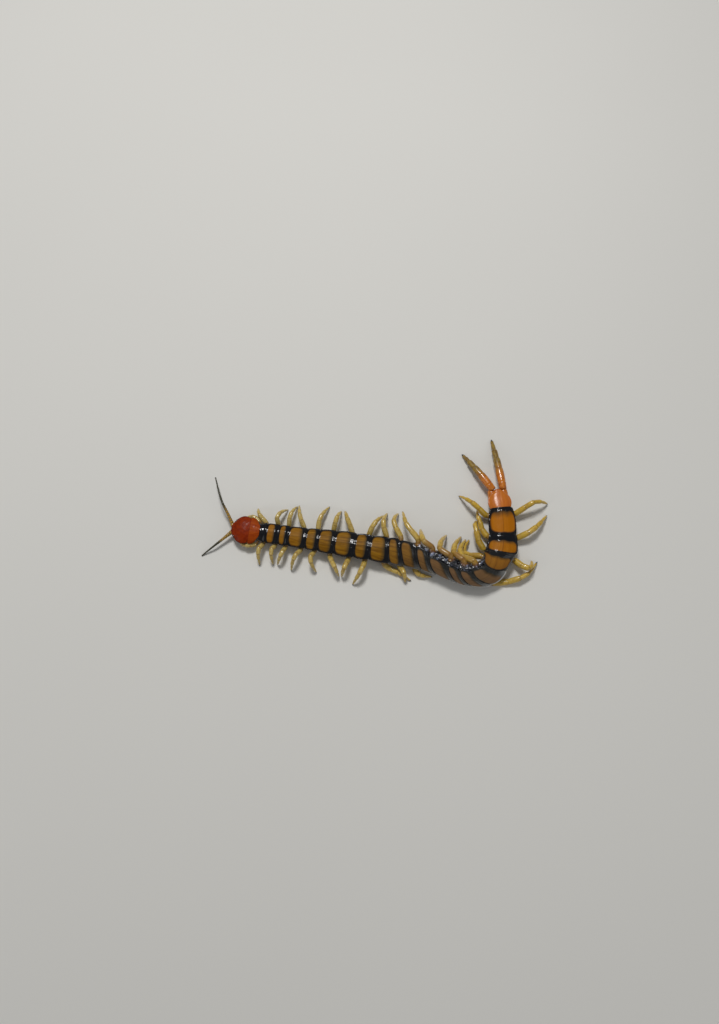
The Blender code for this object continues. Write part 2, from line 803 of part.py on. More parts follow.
def main():
    for old in list(bpy.data.objects):
        bpy.data.objects.remove(old, do_unlink=True)
    bpy.context.scene.collection.children.link(bpy.data.collections.new(COLLECTION))
    shell = material("shell", (0.28, 0.10, 0.02), 0.32)
    red = material("head_shell", (0.30, 0.03, 0.01), 0.28)
    amber = material("leg_skin", (0.52, 0.30, 0.06), 0.35)
    orange = material("last_leg_skin", (0.58, 0.20, 0.02), 0.32)
    olive = material("feeler_skin", (0.22, 0.20, 0.06), 0.42)
    make_head(red)
    make_antennae(olive)
    make_poison_claws(red)
    make_trunk(shell)
    make_legs(amber)
    make_last_legs(orange)


main()
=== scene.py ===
import math

import bpy
import numpy as np
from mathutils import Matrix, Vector


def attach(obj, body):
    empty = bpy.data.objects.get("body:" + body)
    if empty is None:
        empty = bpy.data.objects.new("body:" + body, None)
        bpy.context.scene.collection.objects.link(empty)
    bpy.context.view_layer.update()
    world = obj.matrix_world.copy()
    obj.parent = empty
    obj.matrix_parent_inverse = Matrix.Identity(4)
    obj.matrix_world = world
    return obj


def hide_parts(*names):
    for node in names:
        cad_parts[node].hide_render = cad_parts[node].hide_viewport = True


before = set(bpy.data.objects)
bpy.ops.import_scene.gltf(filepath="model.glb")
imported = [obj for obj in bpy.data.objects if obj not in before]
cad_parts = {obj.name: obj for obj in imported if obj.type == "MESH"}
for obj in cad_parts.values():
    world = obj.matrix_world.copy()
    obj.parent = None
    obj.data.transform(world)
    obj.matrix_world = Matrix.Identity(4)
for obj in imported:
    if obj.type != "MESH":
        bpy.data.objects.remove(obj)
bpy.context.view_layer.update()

# All sizes are millimetres and angles are degrees; the head points to -X
mm = 0.001
boxCentre = np.array((6.3, 1.2, 0.0))
side = {"left": 1, "right": -1}

body = {
    "start": (-40.4, -7.1),
    "heading": -8.2,
    "bends": (
        (20, 40, -0.5),
        (61, 16, -14.8),
        (75, 18, 3.3),
        (87, 20, 73.0),
        (97, 18, 36.0),
        (111, 12, 7.0),
    ),
    "height": 3.5,
    "rises": ((25, 40, 0.6), (58.5, 27, 2.4), (90.5, 15, -2.2)),
    "rolls": ((58.5, 27, 70.0), (90.5, 15, -70.0)),
    "shellRolls": ((58.5, 27, 58.0), (90.5, 15, -58.0)),
    "slides": ((88, 8, -1.5), (97, 5, 1.5)),
    "skews": ((55, 20, 2.2), (67, 10, 1.7), (95, 12, -3.9)),
    "plateLengths": (3.7, 2.4, 5.0, 3.5, 6.5, 4.6, 6.0, 7.5, 5.55, 7.0, 4.8,
                     6.4, 5.0, 7.5, 4.5, 4.9, 6.6, 8.1, 6.3, 9.1, 6.8),
    "plateWidths": (8.8, 7.7, 7.3, 7.4, 7.5, 8.0, 8.5, 9.2, 9.4, 9.6, 9.8,
                    10.0, 10.1, 10.2, 10.3, 10.5, 10.8, 11.1, 10.0, 9.5, 8.0),
    "shellShifts": ((17, -1.9), (18, -1.8), (19, -1.0)),
    "shellWidths": (9.1, 8.0, 7.7, 7.8, 7.9, 8.4, 9.0, 9.7, 9.7, 9.8, 9.9, 10.1, 10.2, 10.3, 10.4, 10.6, 11.1, 12.9,
                    10.9, 10.2, 8.4),
    "step": 0.05,
}
bodyLength = sum(body["plateLengths"])
plateStarts = np.concatenate([[0.0], np.cumsum(body["plateLengths"])])
plateMiddles = 0.5 * (plateStarts[1:] + plateStarts[:-1])
segments = len(body["plateLengths"])
shellStarts = plateStarts.copy()
for boundary, shift in body["shellShifts"]:
    shellStarts[boundary] += shift


def ramp(place, middle, width):
    share = np.clip((np.asarray(place, float) - middle) / width + 0.5, 0.0, 1.0)
    return share * share * (3.0 - 2.0 * share)


def profile(place, start, changes):
    return start + sum(amount * ramp(place, middle, width) for middle, width, amount in changes)


# The body's middle line is integrated once from its heading
linePlaces = np.arange(-4.0, bodyLength + 6.0, body["step"])
lineHeadings = np.radians(profile(linePlaces, body["heading"], body["bends"]))
lineX = np.concatenate([[0], np.cumsum(np.cos(lineHeadings[:-1]))]) * body["step"]
lineY = np.concatenate([[0], np.cumsum(np.sin(lineHeadings[:-1]))]) * body["step"]
lineX += body["start"][0] - np.interp(0.0, linePlaces, lineX)
lineY += body["start"][1] - np.interp(0.0, linePlaces, lineY)


def unit(vectors):
    vectors = np.asarray(vectors, float)
    return vectors / np.linalg.norm(vectors, axis=-1, keepdims=True)


def bodyFrame(place, rolls="rolls"):
    # centre, tailward, left and up of the body at each place behind the head
    place = np.asarray(place, float)
    heading = np.radians(profile(place, body["heading"], body["bends"]))
    height = profile(place, body["height"], body["rises"])
    centre = np.stack([np.interp(place, linePlaces, lineX), np.interp(place, linePlaces, lineY), height], -1)
    slope = profile(place + 0.1, 0.0, body["rises"]) - profile(place - 0.1, 0.0, body["rises"])
    tail = unit(np.stack([np.cos(heading), np.sin(heading), slope / 0.2], -1))
    levelLeft = unit(np.cross(np.array((0.0, 0.0, 1.0)), -tail))
    levelUp = np.cross(-tail, levelLeft)
    roll = np.radians(profile(place, 0.0, body[rolls]))[..., None]
    left = levelLeft * np.cos(roll) - levelUp * np.sin(roll)
    up = levelUp * np.cos(roll) + levelLeft * np.sin(roll)
    return centre, tail, left, up


def halfWidth(place):
    return 0.5 * np.interp(place, plateMiddles, body["plateWidths"])


def shellWidth(place):
    return 0.5 * np.interp(place, plateMiddles, body["shellWidths"])


def skewed(place, across):
    # where the body twists, its left side sits further back than its right
    return place + profile(place, 0.0, body["skews"]) * across / halfWidth(place)


def onShell(place, across, height):
    # points on the shell with the left and up directions there
    centre, tail, left, up = bodyFrame(skewed(place, across), "shellRolls")
    sideways = np.asarray(across) + profile(place, 0.0, body["slides"])
    return centre + left * sideways[..., None] + up * np.asarray(height)[..., None], left, up


def eased(place, table):
    # a table's value at each place, its corners rounded off
    return sum(np.interp(place + shift, *zip(*table)) for shift in (-0.09, -0.045, 0.0, 0.045, 0.09)) / 5


def softNoise(points, size, seed, octaves=3):
    # smooth bumps of about the given size, always the same for a seed
    random = np.random.default_rng(seed)
    total = np.zeros(points.shape[:-1])
    for octave in range(octaves):
        for _ in range(7):
            way = unit(random.normal(size=3)) * 2 * math.pi * 2 ** octave / (size * random.uniform(0.7, 1.5))
            total += np.sin(points @ way + random.uniform(0, 2 * math.pi)) * 0.5 ** octave
    return total / 5.0


def bell(values, width):
    return np.exp(-(np.asarray(values) / width) ** 2)


def smooth(values, low, high):
    share = np.clip((np.asarray(values, float) - low) / (high - low), 0.0, 1.0)
    return share * share * (3.0 - 2.0 * share)


# Mesh helpers: points are millimetres in the same axes as the solids, before the shift of the origin
def gridQuads(grid):
    return np.stack([grid[:-1, :-1], grid[:-1, 1:], grid[1:, 1:], grid[1:, :-1]], -1).reshape(-1, 4)


def signedVolume(points, quads):
    a, b, c, d = (points[quads[:, i]] for i in range(4))
    return np.einsum("ij,ij->i", a, np.cross(b, c)).sum() + np.einsum("ij,ij->i", a, np.cross(c, d)).sum()


def makePiece(name, points, quads, surface, masks=None, nodes=()):
    points = np.asarray(points, float).reshape(-1, 3)
    if signedVolume(points - points.mean(0), quads) < 0:
        quads = quads[:, ::-1]
    mesh = bpy.data.meshes.new(name)
    faces = []
    for quad in quads.tolist():
        faces.append(quad if quad[2] != quad[3] else quad[:3])
    mesh.from_pydata(((points - boxCentre) * mm).tolist(), [], faces)
    for mask, values in (masks or {}).items():
        mesh.attributes.new(mask, "FLOAT", "POINT").data.foreach_set("value", np.ravel(values).astype(np.float32))
    mesh.shade_smooth()
    mesh.materials.append(surface)
    piece = bpy.data.objects.new(name, mesh)
    bpy.context.scene.collection.objects.link(piece)
    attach(piece, "root")
    if nodes:
        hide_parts(*nodes)
    return piece


def tubeQuads(rings, around, offset=0):
    # closed tube: rings of points and a middle point at each end
    grid = np.arange(rings * around).reshape(rings, around)
    quads = gridQuads(np.concatenate([grid, grid[:, :1]], 1))
    ends = []
    for row, middle in ((grid[0][::-1], rings * around), (grid[-1], rings * around + 1)):
        for k in range(around):
            ends.append((row[k], row[(k + 1) % around], middle, middle))
    return np.concatenate([quads, np.array(ends)]) + offset


def closedTube(rings):
    rings = np.asarray(rings)
    points = np.concatenate([rings.reshape(-1, 3), rings[0].mean(0)[None], rings[-1].mean(0)[None]])
    return points, tubeQuads(*rings.shape[:2])


def withEnds(values, around):
    # one value a ring, spread over its points and the two end points
    values = np.asarray(values, float)
    return np.concatenate([np.repeat(values, around), [values[0], values[-1]]])


def joined(parts):
    points, quads, count = [], [], 0
    for partPoints, partQuads in parts:
        points.append(partPoints)
        quads.append(partQuads + count)
        count += len(partPoints)
    return np.concatenate(points), np.concatenate(quads)


def plateShell(top, down, thickness):
    rows, columns = top.shape[:2]
    under = top + down * thickness[..., None]
    grid = np.arange(rows * columns).reshape(rows, columns)
    rim = np.concatenate([grid[0], grid[1:, -1], grid[-1, -2::-1], grid[-2:0:-1, 0]])
    ahead = np.roll(rim, -1)
    low = rows * columns
    sides = np.stack([ahead, rim, rim + low, ahead + low], -1)
    quads = np.concatenate([gridQuads(grid), gridQuads(grid)[:, ::-1] + low, sides])
    return np.concatenate([top.reshape(-1, 3), under.reshape(-1, 3)]), quads


def edgeRound(across, along, width, length, radius):
    # 0 at a plate's rim, 1 further in than the radius
    inset = np.minimum((1.0 - np.abs(across)) * width, np.minimum(along, 1.0 - along) * length)
    share = np.clip(inset / radius, 0.0, 1.0)
    return np.sqrt(1.0 - (1.0 - share) ** 2)


def tubeRings(points, radii, around, startAxis, reference, flat=1.0):
    # rings square to a line, turned along with it; flat squeezes them along the reference
    points = np.asarray(points, float)
    ways = unit(np.diff(points, axis=0))
    axes = np.concatenate([[startAxis], unit(ways[1:] + ways[:-1]), ways[-1:]])
    turns = np.arange(around) * 2 * math.pi / around
    rings = []
    across = np.asarray(reference, float)
    for point, axis, radius in zip(points, axes, radii):
        across = unit(across - axis * (across @ axis))
        other = np.cross(axis, across)
        spread = np.outer(np.cos(turns), across) * flat + np.outer(np.sin(turns), other)
        rings.append(point + spread * radius)
    return np.array(rings)


def bezier(a, b, c, d, count):
    t = (np.arange(count) / count)[:, None]
    return a * (1 - t) ** 3 + b * 3 * t * (1 - t) ** 2 + c * 3 * t * t * (1 - t) + d * t ** 3


def lineLengths(line):
    return np.concatenate([[0.0], np.cumsum(np.linalg.norm(np.diff(line, axis=0), axis=1))])


def along(line, shares):
    lengths = lineLengths(line)
    return np.stack([np.interp(np.asarray(shares) * lengths[-1], lengths, line[:, k]) for k in range(3)], -1)


def smoothLine(points, perSpan):
    points = np.asarray(points, float)
    ends = np.concatenate([[2 * points[0] - points[1]], points, [2 * points[-1] - points[-2]]])
    spans = []
    for a, b, c, d in zip(ends, ends[1:], ends[2:], ends[3:]):
        spans.append(bezier(b, b + (c - a) / 6, c - (d - b) / 6, c, perSpan))
    return np.concatenate(spans + [points[-1:]])


# Node helpers: a number sets a socket, a socket is linked to it
def addNode(tree, kind, inputs=None, **settings):
    node = tree.nodes.new(kind)
    for key, value in settings.items():
        setattr(node, key, value)
    for key, value in (inputs or {}).items():
        socket = node.inputs[key]
        if isinstance(value, bpy.types.NodeSocket):
            tree.links.new(value, socket)
        else:
            socket.default_value = value
    return node


def calc(tree, operation, first, second=0.0, third=0.0, clamp=False):
    node = addNode(tree, "ShaderNodeMath", {0: first, 1: second, 2: third}, operation=operation, use_clamp=clamp)
    return node.outputs[0]


def blendColour(tree, share, first, second, mode="MIX"):
    node = addNode(tree, "ShaderNodeMix", {0: share, 6: first, 7: second}, data_type="RGBA", blend_type=mode)
    return node.outputs[2]


def stepUp(tree, value, low, high):
    node = addNode(tree, "ShaderNodeMapRange", {"Value": value, "From Min": low, "From Max": high},
                   interpolation_type="SMOOTHSTEP")
    return node.outputs[0]


def mask(tree, name):
    return addNode(tree, "ShaderNodeAttribute", attribute_name=name).outputs["Fac"]


def colour(red, green, blue):
    # screen values 0 to 255 to the renderer's light values
    def light(value):
        value /= 255.0
        return value / 12.92 if value <= 0.04045 else ((value + 0.055) / 1.055) ** 2.4
    return (light(red), light(green), light(blue), 1.0)


def newGroup(name, inputs, outputs):
    group = bpy.data.node_groups.new(name, "ShaderNodeTree")
    for socket, value in inputs.items():
        made = group.interface.new_socket(socket, in_out="INPUT", socket_type="NodeSocketFloat")
        made.default_value = value
    for socket, kind in outputs.items():
        group.interface.new_socket(socket, in_out="OUTPUT", socket_type=kind)
    given = group.nodes.new("NodeGroupInput")
    result = group.nodes.new("NodeGroupOutput")
    return group, given.outputs, result.inputs


def placeGroup(tree, group, **inputs):
    node = tree.nodes.new("ShaderNodeGroup")
    node.node_tree = group
    for key, value in inputs.items():
        node.inputs[key].default_value = value
    return node.outputs


def makeCuticleGroup():
    # fine relief and colour drift of horny shell; Size is the spread of a blotch in millimetres
    group, given, result = newGroup(
        "cuticleGrain", {"Size": 1.0, "Pits": 0.3}, {"Mottle": "NodeSocketFloat", "Height": "NodeSocketFloat"}
    )
    place = addNode(group, "ShaderNodeTexCoord").outputs["Object"]
    scale = calc(group, "DIVIDE", 1000.0, given["Size"])
    blotch = addNode(group, "ShaderNodeTexNoise", {"Vector": place, "Scale": scale, "Detail": 4.0})
    fine = addNode(group, "ShaderNodeTexNoise", {"Vector": place, "Detail": 3.0,
                                                 "Scale": calc(group, "MULTIPLY", scale, 7.0)})
    dots = addNode(group, "ShaderNodeTexVoronoi", {"Vector": place, "Scale": calc(group, "MULTIPLY", scale, 3.5)})
    pit = calc(group, "SUBTRACT", 1.0, stepUp(group, dots.outputs["Distance"], 0.05, 0.28))
    low = calc(group, "MULTIPLY", pit, given["Pits"])
    group.links.new(blotch.outputs["Fac"], result["Mottle"])
    group.links.new(calc(group, "SUBTRACT", fine.outputs["Fac"], low), result["Height"])
    return group


def makePlateGroup():
    # markings of a back plate: the pale patch, its dim rear and the dark line on the middle
    group, given, result = newGroup(
        "plateMarks", {"Wobble": 0.1},
        {"Patch": "NodeSocketFloat", "Rear": "NodeSocketFloat", "Middle": "NodeSocketFloat"},
    )
    place = addNode(group, "ShaderNodeTexCoord").outputs["Object"]
    drift = addNode(group, "ShaderNodeTexNoise", {"Vector": place, "Scale": 620.0, "Detail": 3.0})
    shift = calc(group, "MULTIPLY", calc(group, "SUBTRACT", drift.outputs["Fac"], 0.5), given["Wobble"])
    across = calc(group, "ABSOLUTE", mask(group, "patchAcross"))
    lengthwise = calc(group, "ABSOLUTE", mask(group, "patchAlong"))
    corner = calc(group, "ADD", calc(group, "POWER", across, 4.0), calc(group, "POWER", lengthwise, 4.0))
    reach = calc(group, "ADD", calc(group, "POWER", corner, 0.25), shift)
    patch = calc(group, "SUBTRACT", 1.0, stepUp(group, reach, 0.88, 1.06))
    rear = stepUp(group, calc(group, "MULTIPLY_ADD", shift, 2.0, mask(group, "patchAlong")), 0.25, 1.05)
    beside = calc(group, "ABSOLUTE", mask(group, "acrossPlate"))
    middle = calc(group, "SUBTRACT", 1.0, stepUp(group, beside, 0.006, 0.045))
    for key, value in (("Patch", patch), ("Rear", rear), ("Middle", middle)):
        group.links.new(value, result[key])
    return group


def makeStreakGroup():
    # streaks that run lengthwise over a back plate and fan out a little
    group, given, result = newGroup("plateStreaks", {"Fineness": 7.0}, {"Streaks": "NodeSocketFloat"})
    spot = addNode(group, "ShaderNodeCombineXYZ", {
        "X": calc(group, "MULTIPLY", mask(group, "acrossPlate"), given["Fineness"]),
        "Y": mask(group, "alongPlate"),
        "Z": mask(group, "plateNumber"),
    })
    noise = addNode(group, "ShaderNodeTexNoise", {"Vector": spot.outputs[0], "Scale": 1.0, "Detail": 3.0})
    group.links.new(noise.outputs["Fac"], result["Streaks"])
    return group


cuticleGroup = makeCuticleGroup()
plateGroup = makePlateGroup()
streakGroup = makeStreakGroup()


def newSurface(name, roughness, coat, specular=0.5, subsurface=0.0, coatRoughness=0.12):
    surface = bpy.data.materials.new(name)
    surface.use_nodes = True
    shader = surface.node_tree.nodes["Principled BSDF"]
    shader.inputs["Roughness"].default_value = roughness
    shader.inputs["Coat Weight"].default_value = coat
    shader.inputs["Coat Roughness"].default_value = coatRoughness
    shader.inputs["Specular IOR Level"].default_value = specular
    if subsurface:
        shader.inputs["Subsurface Weight"].default_value = subsurface
        shader.inputs["Subsurface Radius"].default_value = (1.0, 0.45, 0.15)
        shader.inputs["Subsurface Scale"].default_value = 0.5 * mm
    return surface, surface.node_tree, shader


def relief(tree, shader, height, depth):
    # bump of the given depth in millimetres
    bump = addNode(tree, "ShaderNodeBump", {"Height": height, "Distance": depth * mm, "Strength": 1.0})
    tree.links.new(bump.outputs["Normal"], shader.inputs["Normal"])


plateFinish = {
    "patch": colour(148, 104, 26),
    "patchDeep": colour(112, 74, 14),
    "glow": colour(184, 108, 12),
    # painted shade and grazing-light greying of the rolled plates, their patches turned brownish grey
    "paintedRollShade": colour(134, 104, 76),
    "band": colour(8, 9, 15),
    "bandWarm": colour(20, 18, 20),
    "rear": colour(46, 46, 34),
    # painted shade of the bands on the rolled plates
    "bandGrey": colour(60, 61, 56),
    # the pale rim: a painted highlight, the glint along the left margins of the rolled plates
    "rim": colour(226, 226, 222),
}


def makeBandedSurface(name, patch, patchDeep, rearShare, coat, line):
    surface, tree, shader = newSurface(name, 0.3, coat, 0.08, coatRoughness=0.12 + 0.2 * coat)
    grain = placeGroup(tree, cuticleGroup, Size=1.6, Pits=0.2)
    marks = placeGroup(tree, plateGroup, Wobble=0.1)
    streaks = placeGroup(tree, streakGroup, Fineness=7.0)["Streaks"]
    deep = blendColour(tree, stepUp(tree, streaks, 0.3, 0.72), patch, patchDeep)
    warm = blendColour(tree, mask(tree, "glow"), deep, plateFinish["glow"])
    # painted shade: the patches of the rolled plates greyed towards brownish grey
    rollShaded = blendColour(tree, mask(tree, "paintedRollShade"), warm, plateFinish["paintedRollShade"])
    shaded = blendColour(tree, calc(tree, "MULTIPLY", marks["Rear"], rearShare), rollShaded, plateFinish["rear"])
    lined = blendColour(tree, calc(tree, "MULTIPLY", marks["Middle"], line), shaded, plateFinish["bandWarm"])
    band = blendColour(tree, stepUp(tree, grain["Mottle"], 0.4, 0.7), plateFinish["band"], plateFinish["bandWarm"])
    # painted shade: the bands of the rolled plates greyed
    bandRollShaded = blendColour(tree, calc(tree, "MULTIPLY", mask(tree, "paintedRollShade"), 0.6), band, plateFinish["bandGrey"])
    whole = blendColour(tree, marks["Patch"], bandRollShaded, lined)
    # painted highlight: a pale glint on the left margins and rear-left corners of the rolled plates
    withPaintedRimGlint = blendColour(tree, mask(tree, "rim"), whole, plateFinish["rim"])
    tree.links.new(withPaintedRimGlint, shader.inputs["Base Color"])
    rough = calc(tree, "MULTIPLY_ADD", marks["Patch"], 0.26, 0.18)
    tree.links.new(rough, shader.inputs["Roughness"])
    gloss = calc(tree, "MULTIPLY_ADD", marks["Patch"], coat - 0.7, 0.7)
    tree.links.new(gloss, shader.inputs["Coat Weight"])
    relief(tree, shader, grain["Height"], 0.02)
    return surface


bandedSurface = makeBandedSurface("bandedShell", plateFinish["patch"], plateFinish["patchDeep"], 0.85, 0.0, 0.3)
firstSurface = makeBandedSurface("firstPlateShell", colour(160, 70, 10), colour(138, 50, 6), 0.1, 0.04, 0.12)
lastSurface = makeBandedSurface("lastPlateShell", colour(200, 114, 32), colour(188, 99, 24), 0.1, 0.75, 0.08)


headFinish = {
    "top": colour(138, 44, 2),
    "deep": colour(116, 31, 0),
    "edge": colour(58, 18, 8),
}


def makeHeadSurface():
    surface, tree, shader = newSurface("headShell", 0.34, 0.1, 0.1)
    grain = placeGroup(tree, cuticleGroup, Size=1.1, Pits=0.4)
    tone = blendColour(tree, stepUp(tree, grain["Mottle"], 0.35, 0.7), headFinish["top"], headFinish["deep"])
    edged = blendColour(tree, mask(tree, "edge"), tone, headFinish["edge"])
    tree.links.new(edged, shader.inputs["Base Color"])
    tree.links.new(calc(tree, "MULTIPLY_ADD", grain["Mottle"], 0.2, 0.3), shader.inputs["Roughness"])
    relief(tree, shader, grain["Height"], 0.02)
    return surface


headSurface = makeHeadSurface()


sideFinish = {
    "skin": colour(24, 27, 40),
    # the fold colour: painted shade in the folds, spiracle holes and segment joins, also the dark side of the skin's
    # random mottle
    "fold": colour(9, 10, 15),
    # painted highlights: pale bluish specks standing for wet glints on the flank in the bend
    "paintedGlint": colour(130, 139, 164),
    "hip": colour(118, 74, 28),
    "belly": colour(120, 96, 56),
    "tail": colour(186, 92, 20),
}


def makeSideSurface():
    # soft skin of the flanks: slate, darkened by painted shade in the folds, the spiracle holes and the segment joins,
    # with pale specks of painted glint in the bend, amber round the hips
    surface, tree, shader = newSurface("flankSkin", 0.2, 1.0, 0.5, coatRoughness=0.05)
    grain = placeGroup(tree, cuticleGroup, Size=0.7, Pits=0.1)
    tone = blendColour(tree, stepUp(tree, grain["Mottle"], 0.3, 0.7), sideFinish["skin"], sideFinish["fold"])
    # painted shade in the folds, the spiracle holes and the segment joins
    creaseShaded = blendColour(tree, mask(tree, "fold"), tone, sideFinish["fold"])
    # painted highlights: pale bluish specks on the flank in the bend
    withPaintedGlints = blendColour(tree, mask(tree, "paintedGlint"), creaseShaded, sideFinish["paintedGlint"])
    low = blendColour(tree, mask(tree, "belly"), withPaintedGlints, sideFinish["belly"])
    hips = blendColour(tree, mask(tree, "hip"), low, sideFinish["hip"])
    whole = blendColour(tree, mask(tree, "tail"), hips, sideFinish["tail"])
    tree.links.new(whole, shader.inputs["Base Color"])
    relief(tree, shader, grain["Height"], 0.04)
    return surface


sideSurface = makeSideSurface()


def makeBellySurface():
    surface, tree, shader = newSurface("bellyShell", 0.3, 0.4, subsurface=0.1)
    grain = placeGroup(tree, cuticleGroup, Size=1.2, Pits=0.3)
    tone = blendColour(tree, stepUp(tree, grain["Mottle"], 0.3, 0.7), colour(168, 128, 62), colour(124, 88, 40))
    tree.links.new(blendColour(tree, mask(tree, "edge"), tone, colour(70, 52, 34)), shader.inputs["Base Color"])
    relief(tree, shader, grain["Height"], 0.03)
    return surface


bellySurface = makeBellySurface()

legFinish = {
    "gold": colour(204, 166, 54),
    "pale": colour(198, 176, 108),
    "deep": colour(158, 122, 42),
    "joint": colour(112, 74, 26),
    "root": colour(122, 74, 24),
}


def makeLegSurface():
    # golden shell, browner at the root and the joints
    surface, tree, shader = newSurface("legShell", 0.32, 0.6, 0.35, subsurface=0.08, coatRoughness=0.1)
    grain = placeGroup(tree, cuticleGroup, Size=0.9, Pits=0.2)
    clean = blendColour(tree, mask(tree, "glow"), legFinish["pale"], legFinish["gold"])
    tone = blendColour(tree, stepUp(tree, grain["Mottle"], 0.4, 0.85), clean, legFinish["deep"])
    rooted = blendColour(tree, mask(tree, "dusk"), tone, legFinish["root"])
    jointed = blendColour(tree, mask(tree, "joint"), rooted, legFinish["joint"])
    tree.links.new(jointed, shader.inputs["Base Color"])
    tree.links.new(calc(tree, "MULTIPLY_ADD", grain["Mottle"], 0.2, 0.2), shader.inputs["Roughness"])
    relief(tree, shader, grain["Height"], 0.03)
    return surface


def makeLastLegSurface():
    # orange at the base, olive towards the tip
    surface, tree, shader = newSurface("lastLegShell", 0.3, 0.5, 0.4, coatRoughness=0.1)
    grain = placeGroup(tree, cuticleGroup, Size=1.1, Pits=0.3)
    base = blendColour(tree, stepUp(tree, grain["Mottle"], 0.35, 0.7), colour(206, 122, 26), colour(178, 94, 14))
    tip = blendColour(tree, stepUp(tree, grain["Mottle"], 0.35, 0.7), colour(150, 122, 48), colour(112, 84, 34))
    tone = blendColour(tree, stepUp(tree, mask(tree, "alongLimb"), 0.14, 0.54), base, tip)
    tree.links.new(blendColour(tree, mask(tree, "joint"), tone, colour(84, 50, 18)), shader.inputs["Base Color"])
    relief(tree, shader, grain["Height"], 0.03)
    return surface


def makeFeelerSurface():
    # the first articles bare and golden, the others dark under their fine hair
    surface, tree, shader = newSurface("feelerShell", 0.35, 0.3)
    grain = placeGroup(tree, cuticleGroup, Size=0.6, Pits=0.2)
    base = blendColour(tree, grain["Mottle"], colour(180, 142, 48), colour(150, 108, 30))
    tip = blendColour(tree, grain["Mottle"], colour(72, 68, 36), colour(46, 44, 24))
    tone = blendColour(tree, stepUp(tree, mask(tree, "alongLimb"), 0.22, 0.42), base, tip)
    tree.links.new(blendColour(tree, mask(tree, "joint"), tone, colour(48, 36, 18)), shader.inputs["Base Color"])
    rough = calc(tree, "MULTIPLY_ADD", stepUp(tree, mask(tree, "alongLimb"), 0.2, 0.4), 0.3, 0.26)
    tree.links.new(rough, shader.inputs["Roughness"])
    relief(tree, shader, grain["Height"], 0.03)
    return surface


def makeClawSurface():
    surface, tree, shader = newSurface("clawHorn", 0.2, 0.6)
    grain = placeGroup(tree, cuticleGroup, Size=0.3, Pits=0.0)
    tree.links.new(blendColour(tree, grain["Mottle"], colour(13, 10, 10), colour(36, 20, 12)),
                   shader.inputs["Base Color"])
    return surface


def makeEyeSurface():
    surface, tree, shader = newSurface("eyeLens", 0.06, 1.0)
    grain = placeGroup(tree, cuticleGroup, Size=0.3, Pits=0.0)
    tree.links.new(blendColour(tree, grain["Mottle"], colour(8, 6, 8), colour(26, 16, 14)),
                   shader.inputs["Base Color"])
    return surface


legSurface = makeLegSurface()
lastLegSurface = makeLastLegSurface()
feelerSurface = makeFeelerSurface()
clawSurface = makeClawSurface()
eyeSurface = makeEyeSurface()
print("materials made")


# Skin of the trunk, under the plates: half outline from the top, as shares of the half width
skin = {
    "outline": ((0.0, 0.43), (0.34, 0.42), (0.62, 0.35), (0.79, 0.22), (0.865, 0.10), (0.885, 0.0), (0.86, -0.10),
                (0.82, -0.20), (0.75, -0.32), (0.66, -0.42), (0.55, -0.485), (0.30, -0.515), (0.0, -0.52)),
    "around": 128,
    "step": 0.2,
    "waist": 0.26,
    "hipHeight": 0.34,
    "spiracles": (3, 5, 8, 10, 12, 14, 16, 18, 20),
}
legPlace = 0.78
coreShares = ((0.0, 0.94), (0.14, 0.99), (0.5, 1.0), (0.86, 0.99), (1.0, 0.94))


def legRoot(segment, sign):
    # centre of a leg's joint on the flank, the way it faces, the tailward way and the half width there
    place = plateStarts[segment] + legPlace * body["plateLengths"][segment]
    centre, tail, left, up = bodyFrame(place)
    width = halfWidth(place)
    core = width * 0.93
    top, foot = np.array((core * 0.93, -0.04 * width)), np.array((core * 0.70, -0.43 * width))
    normal = unit((top[1] - foot[1], foot[0] - top[0]))
    spot = 0.5 * (top + foot) + 0.3 * normal
    point = centre + left * sign * spot[0] + up * spot[1]
    return point, unit(left * sign * normal[0] + up * normal[1]), tail, width


